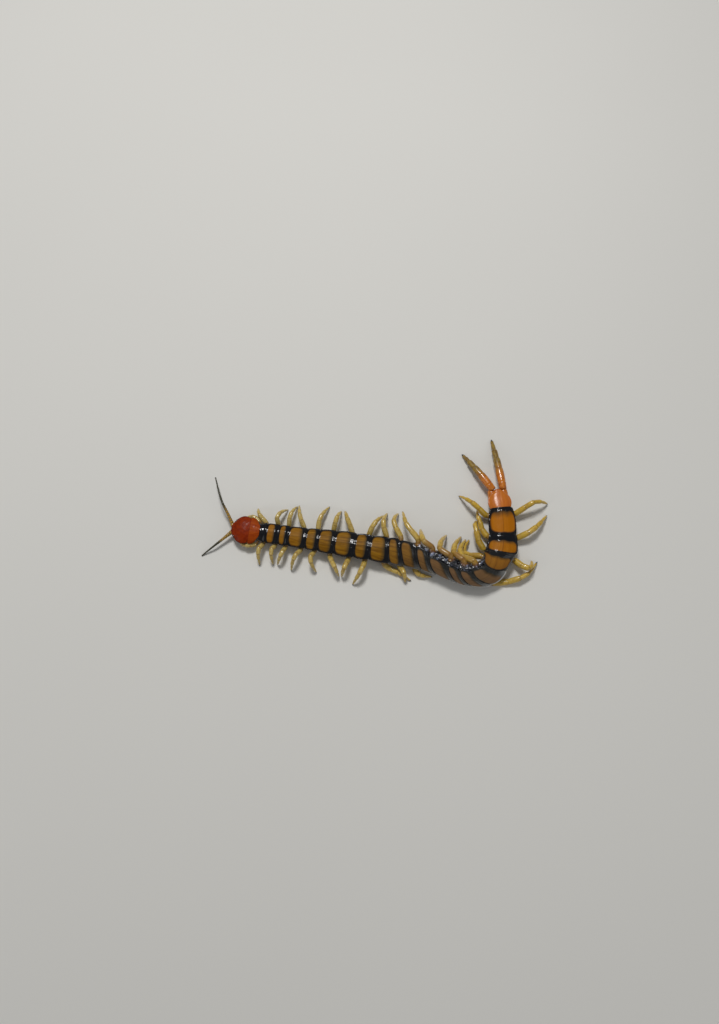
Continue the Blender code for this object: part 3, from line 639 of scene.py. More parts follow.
def makeTrunkSkin():
    half = np.array(skin["outline"])
    loop = np.concatenate([half, half[-2:0:-1] * (-1, 1)])
    loop = np.concatenate([loop, loop[:1]])
    fine = smoothLine(np.concatenate([loop, np.zeros((len(loop), 1))], 1), 16)
    outline = along(fine, np.arange(skin["around"]) / skin["around"])[:, :2]
    ahead = np.roll(outline, -1, 0) - np.roll(outline, 1, 0)
    normal = unit(np.stack([-ahead[:, 1], ahead[:, 0]], -1))
    if (normal * outline).sum() < 0:
        normal = -normal
    places = np.arange(-1.2, bodyLength + 0.9, skin["step"])
    segment = np.clip(np.searchsorted(shellStarts, places, side="right") - 1, 0, segments - 1)
    share = np.clip((places - shellStarts[segment]) / np.diff(shellStarts)[segment], 0.0, 1.0)
    core = np.interp(share, *zip(*coreShares))
    core *= 1.0 - 0.34 * smooth(places, bodyLength - 3.5, bodyLength + 0.6)
    core *= 1.0 - 0.25 * smooth(-places, -0.3, 1.2)
    width = halfWidth(places)
    closing = np.sqrt(1.0 - 0.85 * np.clip((places - bodyLength + 1.0) / 1.9, 0.0, 1.0) ** 2)
    across = outline[None, :, 0] * (width * core * closing)[:, None]
    height = outline[None, :, 1] * (width * closing)[:, None]
    flank = smooth(np.abs(outline[:, 0]), 0.5, 0.75) * smooth(-outline[:, 1], -0.25, 0.0)
    toJoint = np.abs(places[:, None] - shellStarts[None, :]).min(1)
    push = -skin["waist"] * bell(toJoint, 0.55)[:, None] * (0.35 + 0.65 * flank)
    fold = bell(outline[:, 1] + 0.07, 0.035) * flank
    push = push - 0.13 * fold[None, :]
    spread = np.repeat(places[:, None], skin["around"], 1)
    plain, left, up = onShell(spread, across, height)
    hip = np.zeros(across.shape)
    hole = np.zeros(across.shape)
    for number in range(segments - 1):
        for sign in side.values():
            root, facing, tail, width = legRoot(number, sign)
            hip = np.maximum(hip, 1.0 - smooth(np.linalg.norm(plain - root + 0.2 * facing, axis=-1), 0.85, 1.8))
            push = push + 0.14 * bell(np.linalg.norm(plain - root + tail * 1.5, axis=-1), 0.8)
            if number + 1 in skin["spiracles"]:
                place = shellStarts[number] + 0.42 * (shellStarts[number + 1] - shellStarts[number])
                seat, _, _ = onShell(place, sign * 0.86 * width, -0.1 * width)
                hole = np.maximum(hole, bell(np.linalg.norm(plain - seat, axis=-1), 0.33))
    push = push + skin["hipHeight"] * hip ** 1.5 - 0.3 * hole
    across = across + normal[None, :, 0] * push
    height = height + normal[None, :, 1] * push
    grid, left, up = onShell(spread, across, height)
    bumps = softNoise(grid, 0.8, 11) * 0.08 * (0.25 + 0.75 * flank)
    stretched = smooth(places, 55, 62) * (1 - smooth(places, 88, 94))
    lumps = softNoise(grid, 1.7, 17, 2) * 0.34 * smooth(-outline[:, 0], 0.55, 0.7)[None, :]
    bumps = bumps + lumps * stretched[:, None]
    # painted highlights: pale bluish specks spread by chance over the stretched right flank in the bend
    paintedGlint = smooth(softNoise(grid, 1.9, 23, 2), 0.45, 0.75) * stretched[:, None] * smooth(-outline[:, 0], 0.5, 0.65)[None, :]
    grid = grid + (left * normal[None, :, :1] + up * normal[None, :, 1:]) * bumps[..., None]
    points, quads = closedTube(grid)
    count = skin["around"]
    belly = smooth(-outline[:, 1], 0.42, 0.5)
    masks = {
        "hip": np.concatenate([(0.9 * hip).ravel(), [0, 0]]),
        # painted shade in the crease along the flank, in the spiracle holes and at the waists between segments
        "fold": np.concatenate([np.clip(fold[None, :] * 0.8 + hole + bell(toJoint, 0.4)[:, None] * 0.6, 0, 1).ravel(),
                                [0, 0]]),
        "belly": np.concatenate([np.tile(belly, len(places)), [0, 0]]),
        "paintedGlint": np.concatenate([paintedGlint.ravel(), [0, 0]]),
        "tail": withEnds(smooth(places, bodyLength - 2.4, bodyLength - 0.8), skin["around"]),
    }
    assert len(masks["hip"]) == len(points) and count == grid.shape[1]
    nodes = [f"trunk_{number}" for number in range(1, 8)]
    makePiece("trunkSkin", points, quads, sideSurface, masks, nodes)


makeTrunkSkin()
print("trunk skin made")


# Back plates: how each is marked, as the patch's share of the width, its middle and half length along the plate
backPlate = {
    "top": 0.52,
    "edge": 0.17,
    "power": 2.6,
    "thickness": 0.26,
    "lift": 0.32,
    "overlap": 0.32,
    "columns": 97,
    "rowsPerMm": 9,
    "widths": ((0.0, 0.90), (0.14, 0.975), (0.5, 1.0), (0.86, 0.985), (1.0, 0.94)),
    "firstWidths": ((0.0, 1.11), (0.25, 1.08), (0.55, 0.97), (0.85, 0.81), (1.0, 0.73)),
    "secondWidths": ((0.0, 0.76), (0.4, 0.86), (0.75, 0.97), (1.0, 0.95)),
    "lastWidths": ((0.0, 0.82), (0.12, 0.93), (0.32, 1.03), (0.58, 1.02), (0.82, 0.89), (1.0, 0.66)),
    "bands": (-3.0, 9.0, 2.1, 1.6, 1.7, 1.4, 1.45, 2.05, 1.8, 1.6, 1.5, 2.1, 1.9, 2.1, 1.6, 1.45, 1.2, 2.9, 2.7,
              1.6, -3.0),
    # share of painted shade and grazing-light greying on each plate, strongest where the body rolls
    "paintedRollShade": (0, 0, 0, 0, 0, 0, 0, 0, 0, 0, 0.1, 0.25, 0.5, 0.7, 0.85, 0.85, 0.75, 0.15, 0, 0, 0),
    "glow": (0, 0, 0.25, 0.15, 0.1, 0, 0, 0, 0, 0, 0, 0, 0, 0, 0, 0, 0, 0.3, 0.6, 0.8, 0),
    "bare": {12: 0.05, 13: 0.16, 14: 0.32, 15: 0.38, 16: 0.34, 17: 0.16},
    "patchSpans": {1: (0.0, 1.4), 2: (0.0, 1.4), 18: (-0.07, 0.965), 21: (0.0, 1.4)},
    "sutures": 0.27,
}


def makeBackPlates():
    for number in range(1, segments + 1):
        start, length = shellStarts[number - 1], shellStarts[number] - shellStarts[number - 1]
        rows = int(length * backPlate["rowsPerMm"])
        v = np.linspace(0.0, 1.0, rows)[:, None]
        u = np.linspace(-1.0, 1.0, backPlate["columns"])[None, :]
        v, u = np.broadcast_arrays(v, u)
        reach = length + backPlate["overlap"]
        corner = 0.5 * np.clip((np.abs(u) - 0.72) / 0.28, 0, 1) ** 2
        bow = 0.16 * (1 - np.abs(u) ** 2)
        if number == 1:
            corner = 1.2 * np.clip((np.abs(u) - 0.35) / 0.65, 0, 1) ** 2
        if number == segments:
            corner, bow = 1.9 * np.clip((np.abs(u) - 0.15) / 0.85, 0, 1) ** 2, 0 * u
        place = start + v * reach - (corner + bow) * v ** 3
        width = shellWidth(place)
        widths = {1: "firstWidths", 2: "secondWidths", segments: "lastWidths"}.get(number, "widths")
        bare = backPlate["bare"].get(number, 0.0) * (u < 0)
        rim = width * eased(v, backPlate[widths]) * (1.0 - bare)
        rise = backPlate["lift"] * (0.35 * smooth(v, 0.0, 0.5) + 0.65 * smooth(v, 0.58, 0.88))
        top, edge = backPlate["top"] * width, (backPlate["edge"] + 0.62 * bare) * width
        height = edge + (top - edge) * (1.0 - np.abs(u) ** backPlate["power"]) + rise
        if number == segments:
            height = height - 0.9 * v ** 2.2
        grown = smooth(number, 2, 6)
        margin = smooth(number, 5, 9)
        groove = bell(np.abs(u) - backPlate["sutures"] - 0.03 * (1 - v), 0.014)
        grown = grown * (number < segments)
        height = height - 0.06 * groove * grown * smooth(v, 0.05, 0.16) * (1 - smooth(v, 0.86, 0.95))
        height = height + 0.10 * margin * smooth(np.abs(u), 0.915, 0.95) - 0.05 * margin * bell(np.abs(u) - 0.90, 0.02)
        height = height - 0.07 * bell(np.abs(u) - 0.55, 0.16) * (number < segments) + 0.035 * bell(u, 0.07) * grown
        height = height - 0.05 * bell(v - 0.90, 0.03) * (1 - smooth(np.abs(u), 0.8, 0.95))
        grid, left, up = onShell(place, u * rim, height)
        grid = grid + up * (softNoise(grid, 2.4, 40 + number) * 0.03)[..., None]
        down = unit(-up - left * (u * 0.35)[..., None])
        inset = edgeRound(u, v, 5.0, length, 0.16)
        grid = grid + down * (0.5 * backPlate["thickness"] * (1.0 - inset))[..., None]
        thickness = backPlate["thickness"] * np.maximum(inset, 0.12)
        points, quads = plateShell(grid, down, thickness)
        ends = 1.0 - backPlate["bands"][number - 1] / reach
        begins = {1: -0.3, 2: -0.3, 3: 0.12, segments: -0.3}.get(number, 0.06)
        wavy = 0.05 * np.cos(u * 9.0) * (v > 0.5) * (number > 16)
        patchMiddle, patchHalf = backPlate["patchSpans"].get(number, (0.02, 0.885))
        masks = {
            "acrossPlate": u,
            "alongPlate": v,
            "plateNumber": np.full(u.shape, 3.7 * number),
            "patchAcross": (u - patchMiddle) / patchHalf,
            "patchAlong": (2 * v - ends - begins - wavy) / (ends - begins),
            # painted shade of the rolled plates, one value a plate
            "paintedRollShade": np.full(u.shape, backPlate["paintedRollShade"][number - 1]),
            "glow": np.full(u.shape, backPlate["glow"][number - 1]),
            # painted highlight along the left margin and the rear-left corner of each rolled plate, as strong as that
            # plate's painted shade
            "rim": backPlate["paintedRollShade"][number - 1] * np.maximum(
                smooth(u, 0.88, 0.93), 0.28 * smooth(u, 0.35, 0.8) * smooth(v, 0.5, 0.9)
            ),
        }
        masks = {name: np.concatenate([np.ravel(value), np.ravel(value)]) for name, value in masks.items()}
        surface = {1: firstSurface, segments: lastSurface}.get(number, bandedSurface)
        makePiece(f"backPlate_{number:02d}", points, quads, surface, masks)


makeBackPlates()
print("back plates made")


bellyPlate = {"wide": 0.56, "height": 0.515, "thickness": 0.2, "columns": 49, "rowsPerMm": 6}


def makeBellyPlates():
    for number in range(1, segments + 1):
        start, length = shellStarts[number - 1], shellStarts[number] - shellStarts[number - 1]
        v = np.linspace(0.0, 1.0, int(length * bellyPlate["rowsPerMm"]))[:, None]
        u = np.linspace(-1.0, 1.0, bellyPlate["columns"])[None, :]
        v, u = np.broadcast_arrays(v, u)
        place = start + (0.05 + 0.92 * v) * length
        width = halfWidth(place)
        taper = 1.0 - 0.16 * (2 * v - 1) ** 2
        if number == segments:
            taper = 1.0 - 0.45 * v
        across = u * width * bellyPlate["wide"] * taper
        depth = bellyPlate["height"] * width + 0.13 - 0.12 * np.abs(u) ** 3
        depth = depth - 0.05 * bell(np.abs(u) - 0.42, 0.03) * (np.abs(v - 0.5) < 0.48)
        grid, left, up = onShell(place, across, -depth)
        inset = edgeRound(u, v, 2.8, length, 0.14)
        grid = grid + up * (0.5 * bellyPlate["thickness"] * (1.0 - inset))[..., None]
        points, quads = plateShell(grid, up, bellyPlate["thickness"] * np.maximum(inset, 0.12))
        edge = np.maximum(smooth(np.abs(u), 0.85, 1.0), smooth(v, 0.9, 1.0))
        masks = {"edge": np.concatenate([edge.ravel(), edge.ravel()])}
        makePiece(f"bellyPlate_{number:02d}", points, quads, bellySurface, masks)


makeBellyPlates()
print("belly plates made")


# Walking legs: the pose rows are swing towards the tail, reach over the floor, place of the knee and its bow
legs = {
    "articles": (
        ("trochanter", 0.09, 0.94),
        ("prefemur", 0.26, 1.00),
        ("femur", 0.20, 0.91),
        ("tibia", 0.17, 0.71),
        ("tarsus1", 0.14, 0.49),
        ("tarsus2", 0.08, 0.33),
        ("claw", 0.07, 0.26),
    ),
    "narrow": 0.965,
    "thickest": 0.55,
    "around": 20,
    "thickness": (0.47, 0.13),
    "tip": 0.15,
    "tipHeight": 0.045,
    "lengths": ((1, 8.0), (2, 11.3), (5, 12.3), (9, 13.2), (12, 16.0), (14, 17.5), (17, 18.5), (20, 18.0)),
    "kneeRise": 2.6,
    "left": (
        (-81, 6.4, 0.50, -1.4),
        (-1, 8.6, 0.42, 1.0),
        (2, 7.8, 0.44, 0.9),
        (-15, 7.8, 0.53, -0.3),
        (-16, 9.2, 0.49, 0.4),
        (13, 8.2, 0.45, 1.8),
        (30, 9.3, 0.68, 0.4),
        (-12, 7.9, 0.62, -0.1),
        (-18, 10.5, 0.45, -0.8),
        (64, 12.4, 0.56, 0.2),
        (28, 7.8, 0.60, -0.4),
        (68, 8.3, 0.38, 2.6),
        (105, 5.0, 0.50, -1.0),
        (105, 5.0, 0.50, -1.0),
        (105, 4.6, 0.50, -1.0),
        (78, 4.8, 0.50, -1.0),
        (78, 19.2, 0.58, 3.6),
        (15, 8.0, 0.72, 3.7),
        (36, 16.8, 0.43, 1.8),
        (14, 15.6, 0.59, -1.3),
    ),
    "right": (
        (-81, 6.6, 0.50, -1.8),
        (-35, 8.0, 0.59, 0.6),
        (16, 8.2, 0.40, 1.7),
        (10, 9.7, 0.48, 0.8),
        (-20, 10.7, 0.51, 0.5),
        (14, 11.4, 0.45, 1.2),
        (10, 9.8, 0.55, 0.4),
        (-24, 10.7, 0.61, 0.1),
        (24, 11.1, 0.48, 0.9),
        (-6, 11.1, 0.52, 1.5),
        (-12, 11.7, 0.59, 2.3),
        (-38, 14.6, 0.55, 1.2),
        (-45, 10.2, 0.36, 1.8),
        (-24, 11.0, 0.27, 4.0),
        (-17, 12.2, 0.30, 3.9),
        (-10, 11.9, 0.43, 4.4),
        (8, 10.0, 0.55, 4.8),
        (57, 12.7, 0.74, 2.3),
        (67, 12.0, 0.70, 1.3),
        (41, 14.2, 0.51, 0.7),
    ),
    "kneeHeights": {
        ("left", 10): 1.2,
        ("left", 11): 3.7,
        ("left", 12): 1.4,
        ("left", 13): 1.0,
        ("left", 14): 1.0,
        ("left", 15): 1.0,
        ("left", 16): 1.0,
        ("left", 17): 2.5,
        ("left", 18): 4.5,
        ("right", 2): 3.2,
        ("right", 12): 8.0,
        ("right", 13): 10.5,
        ("right", 14): 10.4,
        ("right", 15): 9.2,
        ("right", 16): 7.6,
        ("right", 17): 3.8,
        ("right", 19): 2.6,
    },
    "raised": {("right", 12): 3.0, ("right", 13): 2.5},
}


def kneeHeight(root, knee, foot, length):
    # height of the knee at which both halves of the leg add up to its length
    low, high = 0.5 * (root[2] + foot[2]), root[2] + legs["kneeRise"]
    for _ in range(30):
        knee[2] = 0.5 * (low + high)
        if np.linalg.norm(knee - root) + np.linalg.norm(foot - knee) < length:
            low = knee[2]
        else:
            high = knee[2]
    return high


def legLine(word, number):
    sign = side[word]
    root, facing, tail, width = legRoot(number - 1, sign)
    swing, reach, share, bow = legs[word][number - 1]
    back = unit(tail * (1, 1, 0))
    out = np.cross((0.0, 0.0, 1.0), -back) * sign
    turn = math.radians(swing)
    way = out * math.cos(turn) + back * math.sin(turn)
    forward = out * math.sin(turn) - back * math.cos(turn)
    ground = root * (1, 1, 0)
    foot = ground + way * reach
    foot[2] = legs["tipHeight"] + legs["raised"].get((word, number), 0.0)
    knee = ground + way * reach * share + forward * bow
    length = np.interp(number, *zip(*legs["lengths"]))
    given = legs["kneeHeights"].get((word, number))
    knee[2] = kneeHeight(root, knee, foot, length) if given is None else given
    first, second = np.linalg.norm(knee - root), np.linalg.norm(foot - knee)
    over = unit(unit(foot - root) * (1, 1, 0.5))
    down = unit(unit(foot - knee) + (0, 0, -0.5))
    upper = bezier(root, root + facing * first * 0.45, knee - over * first * 0.35, knee, 24)
    lower = bezier(knee, knee + over * second * 0.35, foot - down * second * 0.4, foot, 24)
    return np.concatenate([upper, lower, [foot]]), facing, tail, width


def limbProfile(articles, narrow, thickest, perArticle):
    # places along a limb, thickness there, how near a joint, and the places of the joints
    inner = np.concatenate([[0.0, 0.03, 0.08], np.linspace(0.16, 0.86, perArticle), [0.93, 0.97, 0.995]])
    shares, sizes, joints = [], [], [0.0]
    total = sum(length for _, length, _ in articles)
    for name, length, thickness in articles:
        rise = narrow + (1 - narrow) * np.sin(0.5 * math.pi * np.clip(inner / thickest, 0, 1))
        fall = 1.0 - 0.06 * np.clip((inner - thickest) / (1 - thickest), 0, 1) ** 2
        shares.append(joints[-1] + inner * length / total)
        sizes.append(thickness * rise * fall)
        joints.append(joints[-1] + length / total)
    shares, sizes = np.concatenate(shares), np.concatenate(sizes)
    nearest = np.abs(shares[:, None] - np.array(joints[1:-1])[None, :]).min(1)
    sizes = np.convolve(np.pad(sizes, 2, "edge"), (0.1, 0.25, 0.3, 0.25, 0.1), "valid")
    sizes = sizes * (1 - 0.045 * bell(nearest, 0.006))
    return shares, sizes, bell(nearest, 0.008), np.array(joints)


def jointedLine(line, joints, shares, straight):
    # between its joints a limb is nearly straight
    corners = along(line, joints)
    spread = np.stack([np.interp(shares, joints, corners[:, k]) for k in range(3)], -1)
    mixed = along(line, shares) * (1 - straight) + spread * straight
    soft = mixed.copy()
    soft[1:-1] = 0.25 * mixed[:-2] + 0.5 * mixed[1:-1] + 0.25 * mixed[2:]
    return soft


def onFloor(rings):
    rings[..., 2] = np.maximum(rings[..., 2], 0.0)
    return rings


def clawCone(root, way, radius, length, droop, around=10):
    # small curved horn
    t = np.linspace(0.0, 1.0, 9)[:, None]
    line = root + way * length * t + np.array((0.0, 0.0, -droop)) * t ** 2
    sizes = radius * np.clip(1.0 - t[:, 0] ** 1.6, 0.04, 1.0)
    reference = np.cross(way, (0.3, 0.2, 1.0))
    return closedTube(onFloor(tubeRings(line, sizes, around, way, reference)))


def makeLegs():
    shares, sizes, joint, joints = limbProfile(legs["articles"][:-1], legs["narrow"], legs["thickest"], 10)
    skinEnd = 1.0 - legs["articles"][-1][1]
    claws = []
    for word in side:
        for number in range(1, segments):
            line, facing, tail, width = legLine(word, number)
            radius = (legs["thickness"][0] + legs["thickness"][1] * width) * (1.0 + 0.1 * smooth(number, 14, 18))
            points = jointedLine(line, joints * skinEnd, shares * skinEnd, 0.75)
            root = points[0]
            lead = [root - facing * 1.0, root - facing * 0.35, root - facing * 0.1]
            points = np.concatenate([lead, points])
            radii = np.concatenate([[1.12, 1.2, 1.1], sizes]) * radius
            rings = onFloor(tubeRings(points, radii, legs["around"], facing, tail, 0.96))
            around = legs["around"]
            dusk = 0.75 * (1 - smooth(shares, 0.03, 0.16))
            if word == "right" and 12 < number < 18:
                brown = 0.7 if number < 16 else 0.35
                dusk = np.maximum(dusk, brown * (1 - smooth(shares, 0.25, 0.45)))
            masks = {
                "joint": withEnds(np.concatenate([[0.2] * 3, 0.42 * joint]), around),
                "glow": np.full(around * len(radii) + 2, number / segments),
                "dusk": withEnds(np.concatenate([[0.8] * 3, dusk]), around),
                "alongLimb": withEnds(np.concatenate([[0.0] * 3, shares]), around),
            }
            body3, quads = closedTube(rings)
            node = f"leg_{word}_{number:02d}"
            makePiece(f"shell_{node}", body3, quads, legSurface, masks, [node])
            way = unit(line[-1] - points[-1])
            claws.append(clawCone(points[-1] - way * 0.1, way, 0.95 * radii[-1],
                                  np.linalg.norm(line[-1] - points[-1]) + 0.15, 0.0))
            spur = along(line, [0.80 * skinEnd / 0.95])[0]
            claws.append(clawCone(spur - (0, 0, 0.35 * radius), unit(way + (0, 0, -0.9)), 0.09 * radius, 0.5, 0.0, 6))
    points, quads = joined(claws)
    makePiece("legClaws", points, quads, clawSurface, None, ())


makeLegs()
print("walking legs made")


lastLegs = {
    "articles": (
        ("trochanter", 0.06, 0.95),
        ("prefemur", 0.27, 1.00),
        ("femur", 0.22, 0.90),
        ("tibia", 0.19, 0.74),
        ("tarsus1", 0.13, 0.52),
        ("tarsus2", 0.07, 0.40),
        ("claw", 0.06, 0.26),
    ),
    "root": 2.1,
    "stub": 0.5,
    "beyond": 1.5,
    "radius": 1.55,
    "turns": {"left": -2.0, "right": 28.5},
    "lengths": {"left": 19.8, "right": 17.2},
    "around": 32,
}


def lastLegRoot(word):
    sign = side[word]
    centre, tail, left, up = bodyFrame(bodyLength + lastLegs["beyond"])
    turn = math.radians(lastLegs["turns"][word])
    outward = tail * math.cos(turn) + left * sign * math.sin(turn)
    return centre + left * sign * lastLegs["root"] + outward * lastLegs["stub"], outward, up


def makeLastLegs():
    claws = []
    for word in side:
        point, outward, up = lastLegRoot(word)
        root = point + outward * 0.3
        foot = root + unit(outward * (1, 1, 0)) * lastLegs["lengths"][word]
        foot[2] = legs["tipHeight"]
        middle = 0.5 * (root + foot)
        middle[2] = root[2] * 0.8
        line = np.concatenate([bezier(root, root + outward * 5.0, middle, foot, 40), [foot]])
        shares, sizes, joint, joints = limbProfile(lastLegs["articles"][:-1], 0.96, 0.6, 16)
        skinEnd = 1.0 - lastLegs["articles"][-1][1]
        points = jointedLine(line, joints * skinEnd, shares * skinEnd, 0.8)
        lead = [points[0] - outward * 1.6, points[0] - outward * 0.5]
        points = np.concatenate([lead, points])
        radii = np.concatenate([[0.85, 0.9], sizes]) * lastLegs["radius"]
        rings = onFloor(tubeRings(points, radii, lastLegs["around"], outward, up, 0.9))
        masks = {
            "joint": withEnds(np.concatenate([[0, 0], 0.3 * joint * smooth(shares, 0.08, 0.14)]), lastLegs["around"]),
            "alongLimb": withEnds(np.concatenate([[0, 0], shares]), lastLegs["around"]),
        }
        body3, quads = closedTube(rings)
        node = f"ultimate_leg_{word}"
        makePiece(f"shell_{node}", body3, quads, lastLegSurface, masks, [node])
        way = unit(line[-1] - points[-1])
        claws.append(clawCone(points[-1] - way * 0.1, way, 0.95 * radii[-1],
                              np.linalg.norm(line[-1] - points[-1]) + 0.15, 0.0, 16))
        spot = along(line, [0.27])[0]
        across = np.cross(up, outward) * side[word]
        for row, (lateral, rise) in enumerate(((-0.9, 0.35), (-0.95, -0.25), (-0.4, -0.9), (0.3, -0.95))):
            for k in range(3):
                seat = along(line, [0.10 + 0.07 * k + 0.01 * row])[0]
                seat = seat + (across * lateral + up * rise) * lastLegs["radius"] * 0.82
                way = unit(across * lateral + up * rise + outward * 0.8)
                claws.append(clawCone(seat, way, 0.1, 0.5, 0.0, 6))
        claws.append(clawCone(spot - across * 0.75 + up * 0.55, unit(outward - across * 0.3), 0.16, 0.8, 0.0, 8))
    points, quads = joined(claws)
    makePiece("lastLegClaws", points, quads, clawSurface, None, ())


def makeHipLobes():
    # rounded lobes under the last plate that carry the last legs, each with a short spined point behind
    lobes, spines = [], []
    for word, sign in side.items():
        line = smoothLine([onShell(bodyLength + at, sign * across, height)[0]
                           for at, across, height in ((-5.2, 2.5, -0.7), (-2.6, 2.45, -0.75), (0.1, 2.25, -0.6),
                                                      (1.2, 2.15, -0.5))], 8)
        shares = np.linspace(0, 1, len(line))
        sizes = 1.45 * np.sqrt(np.clip(1 - (2 * np.abs(shares - 0.45)) ** 3.5, 0.02, 1))
        centre, tail, left, up = bodyFrame(bodyLength)
        lobes.append(closedTube(tubeRings(line, sizes, 28, tail, up, 0.85)))
        seat = onShell(bodyLength + 0.3, sign * 0.9, -1.25)[0]
        lobes.append(clawCone(seat - tail * 1.0, unit(tail - up * 0.15), 0.42, 1.9, 0.0, 12))
        for across in (-0.12, 0.14):
            spines.append(clawCone(seat + tail * 0.75 + left * across, unit(tail + left * across), 0.07, 0.4, 0.0, 6))
    points, quads = joined(lobes)
    masks = {"joint": np.zeros(len(points)), "alongLimb": np.zeros(len(points))}
    makePiece("hipLobes", points, quads, lastLegSurface, masks, ())
    points, quads = joined(spines)
    makePiece("hipSpines", points, quads, clawSurface, None, ())


makeLastLegs()
makeHipLobes()
print("last legs made")


head = {
    "length": 7.0,
    "width": 10.5,
    "pitch": 5.0,
    "top": 2.35,
    "edge": 0.75,
    "belly": -0.35,
    "widest": 0.36,
    "neck": 0.10,
    "front": 0.76,
    "frontPower": 2.0,
    "frontDrop": 0.45,
    "edgeDrop": 0.35,
    "capsule": 0.86,
    "power": 2.6,
    "eyeRadius": 0.23,
    "eyes": ((0.70, 0.90), (0.765, 0.97), (0.765, 0.80), (0.83, 0.90)),
}


def headPoint(forward, across, height):
    centre, tail, left, up = bodyFrame(0.0)
    pitch = math.radians(head["pitch"])
    ahead = -tail * math.cos(pitch) - up * math.sin(pitch)
    lifted = up * math.cos(pitch) - tail * math.sin(pitch)
    forward, across, height = (np.asarray(value, float)[..., None] for value in (forward, across, height))
    return centre + ahead * forward + left * across + lifted * height


def headAxes():
    origin = headPoint(0.0, 0.0, 0.0)
    return headPoint(1.0, 0.0, 0.0) - origin, headPoint(0.0, 1.0, 0.0) - origin, headPoint(0.0, 0.0, 1.0) - origin


def headOutline(share):
    back = np.maximum(0.0, (head["widest"] - share) / head["widest"])
    front = np.maximum(0.0, (share - head["widest"]) / (1.0 - head["widest"]))
    return 0.5 * head["width"] * (1.0 - head["neck"] * back ** 2 - head["front"] * front ** head["frontPower"])


def headHeights(share):
    front = np.maximum(0.0, (share - head["widest"]) / (1.0 - head["widest"]))
    return head["top"] * (1 - head["frontDrop"] * front ** 2), head["edge"] * (1 - head["edgeDrop"] * front ** 2)


def makeHead():
    # the shield over the head
    v = np.linspace(0.0, 1.0, 90)[:, None]
    u = np.linspace(-1.0, 1.0, 111)[None, :]
    v, u = np.broadcast_arrays(v, u)
    wide = headOutline(v)
    top, edge = headHeights(v)
    height = edge + (top - edge) * (1 - np.abs(u) ** head["power"])
    height = height - 0.10 * bell(u, 0.05) * smooth(v, 0.72, 0.95)
    height = height - 0.06 * bell(np.abs(u) - 0.45, 0.2) * bell(v - 0.8, 0.2)
    height = height + 0.06 * smooth(np.abs(u), 0.93, 0.97)
    notch = 0.35 * bell(u * wide, 0.45) * smooth(v, 0.75, 1.0)
    rearCorner = 0.5 * np.clip((np.abs(u) - 0.6) / 0.4, 0, 1) ** 2 * (1 - smooth(v, 0, 0.3))
    forward = -0.35 + v * (head["length"] + 0.35) - notch + rearCorner
    grid = headPoint(forward, u * wide, height)
    ahead, left, up = headAxes()
    grid = grid + up * (softNoise(grid, 2.0, 5) * 0.04)[..., None]
    inset = edgeRound(u, v, 4.4, head["length"], 0.2)
    down = unit(-up - left * (u * 0.35)[..., None] - ahead * (0.3 * smooth(v, 0.8, 1.0))[..., None])
    grid = grid + down * (0.13 * (1 - inset))[..., None]
    points, quads = plateShell(grid, down, 0.3 * np.maximum(inset, 0.12))
    rim = np.maximum(smooth(np.abs(u), 0.9, 1.0), smooth(v, 0.94, 1.0)) * 0.7 + 0.3 * (1 - smooth(v, 0.0, 0.05))
    masks = {"edge": np.tile(np.clip(rim, 0, 1).ravel(), 2)}
    makePiece("headShield", points, quads, headSurface, masks, ())

    # the capsule under it, down to the mouth
    share = np.linspace(0.0, 1.0, 60)
    turns = np.arange(72) * 2 * math.pi / 72
    rings = []
    for place in share:
        wide = headOutline(place) * head["capsule"]
        top, edge = headHeights(place)
        closing = math.sqrt(max(0.0, 1 - max(0.0, (place - 0.9) / 0.1) ** 2 * 0.75))
        middle, half = 0.5 * (edge + head["belly"] + 0.3), 0.5 * (edge + 0.3 - head["belly"])
        a = np.sign(np.sin(turns)) * np.abs(np.sin(turns)) ** 0.7 * wide * closing
        b = middle + np.sign(np.cos(turns)) * np.abs(np.cos(turns)) ** 0.75 * half * closing
        rings.append(headPoint(np.full(72, place * (head["length"] - 0.1)), a, b))
    points, quads = closedTube(rings)
    makePiece("headCapsule", points, quads, headSurface, {"edge": np.full(len(points), 0.45)}, ["head"])

    # four simple eyes a side
    eyes = []
    for sign in side.values():
        for place, spread in head["eyes"]:
            top, edge = headHeights(place)
            height = edge + (top - edge) * (1 - spread ** head["power"]) + 0.02
            centre = headPoint(place * head["length"], sign * headOutline(place) * spread, height)
            out = unit(left * sign * 0.75 + up * 0.65 + ahead * 0.2)
            eyes.append(ball(centre - out * 0.1, out, head["eyeRadius"]))
    points, quads = joined(eyes)
    makePiece("eyes", points, quads, eyeSurface, None, ())


def ball(centre, axis, radius, squeeze=0.85):
    polar = np.linspace(0.08, math.pi - 0.08, 12)
    line = centre + axis * (np.cos(polar) * radius * squeeze)[:, None]
    reference = np.cross(axis, (0.2, 0.9, 0.4))
    points, quads = closedTube(tubeRings(line, np.sin(polar) * radius, 18, -axis, reference))
    return points, quads


makeHead()
print("head made")


feeler = {
    "articles": 18,
    "radius": 0.74,
    "tip": 0.2,
    "root": (6.75, 1.35, 0.15),
    "stub": 0.5,
    "turns": {"left": 45.0, "right": 60.0},
    "lines": {
        "left": ((3.5, 0.1, 2.6), (7.0, 0.15, 2.2), (10.2, 0.05, 1.2), (13.0, 0.0, 0.12)),
        "right": ((4.0, 0.2, 4.2), (8.0, 0.6, 5.2), (12.5, 0.4, 5.4), (18.5, -0.2, 4.6)),
    },
    "around": 20,
    "bareArticles": 5,
    "hairs": 90,
    "hairLength": 0.26,
    "hairRadius": 0.014,
}


def feelerRoot(word):
    ahead, left, up = headAxes()
    turn = math.radians(feeler["turns"][word])
    outward = unit(ahead * math.cos(turn) + left * side[word] * math.sin(turn))
    forward, across, height = feeler["root"]
    return headPoint(forward, across * side[word], height) + outward * feeler["stub"], outward, up


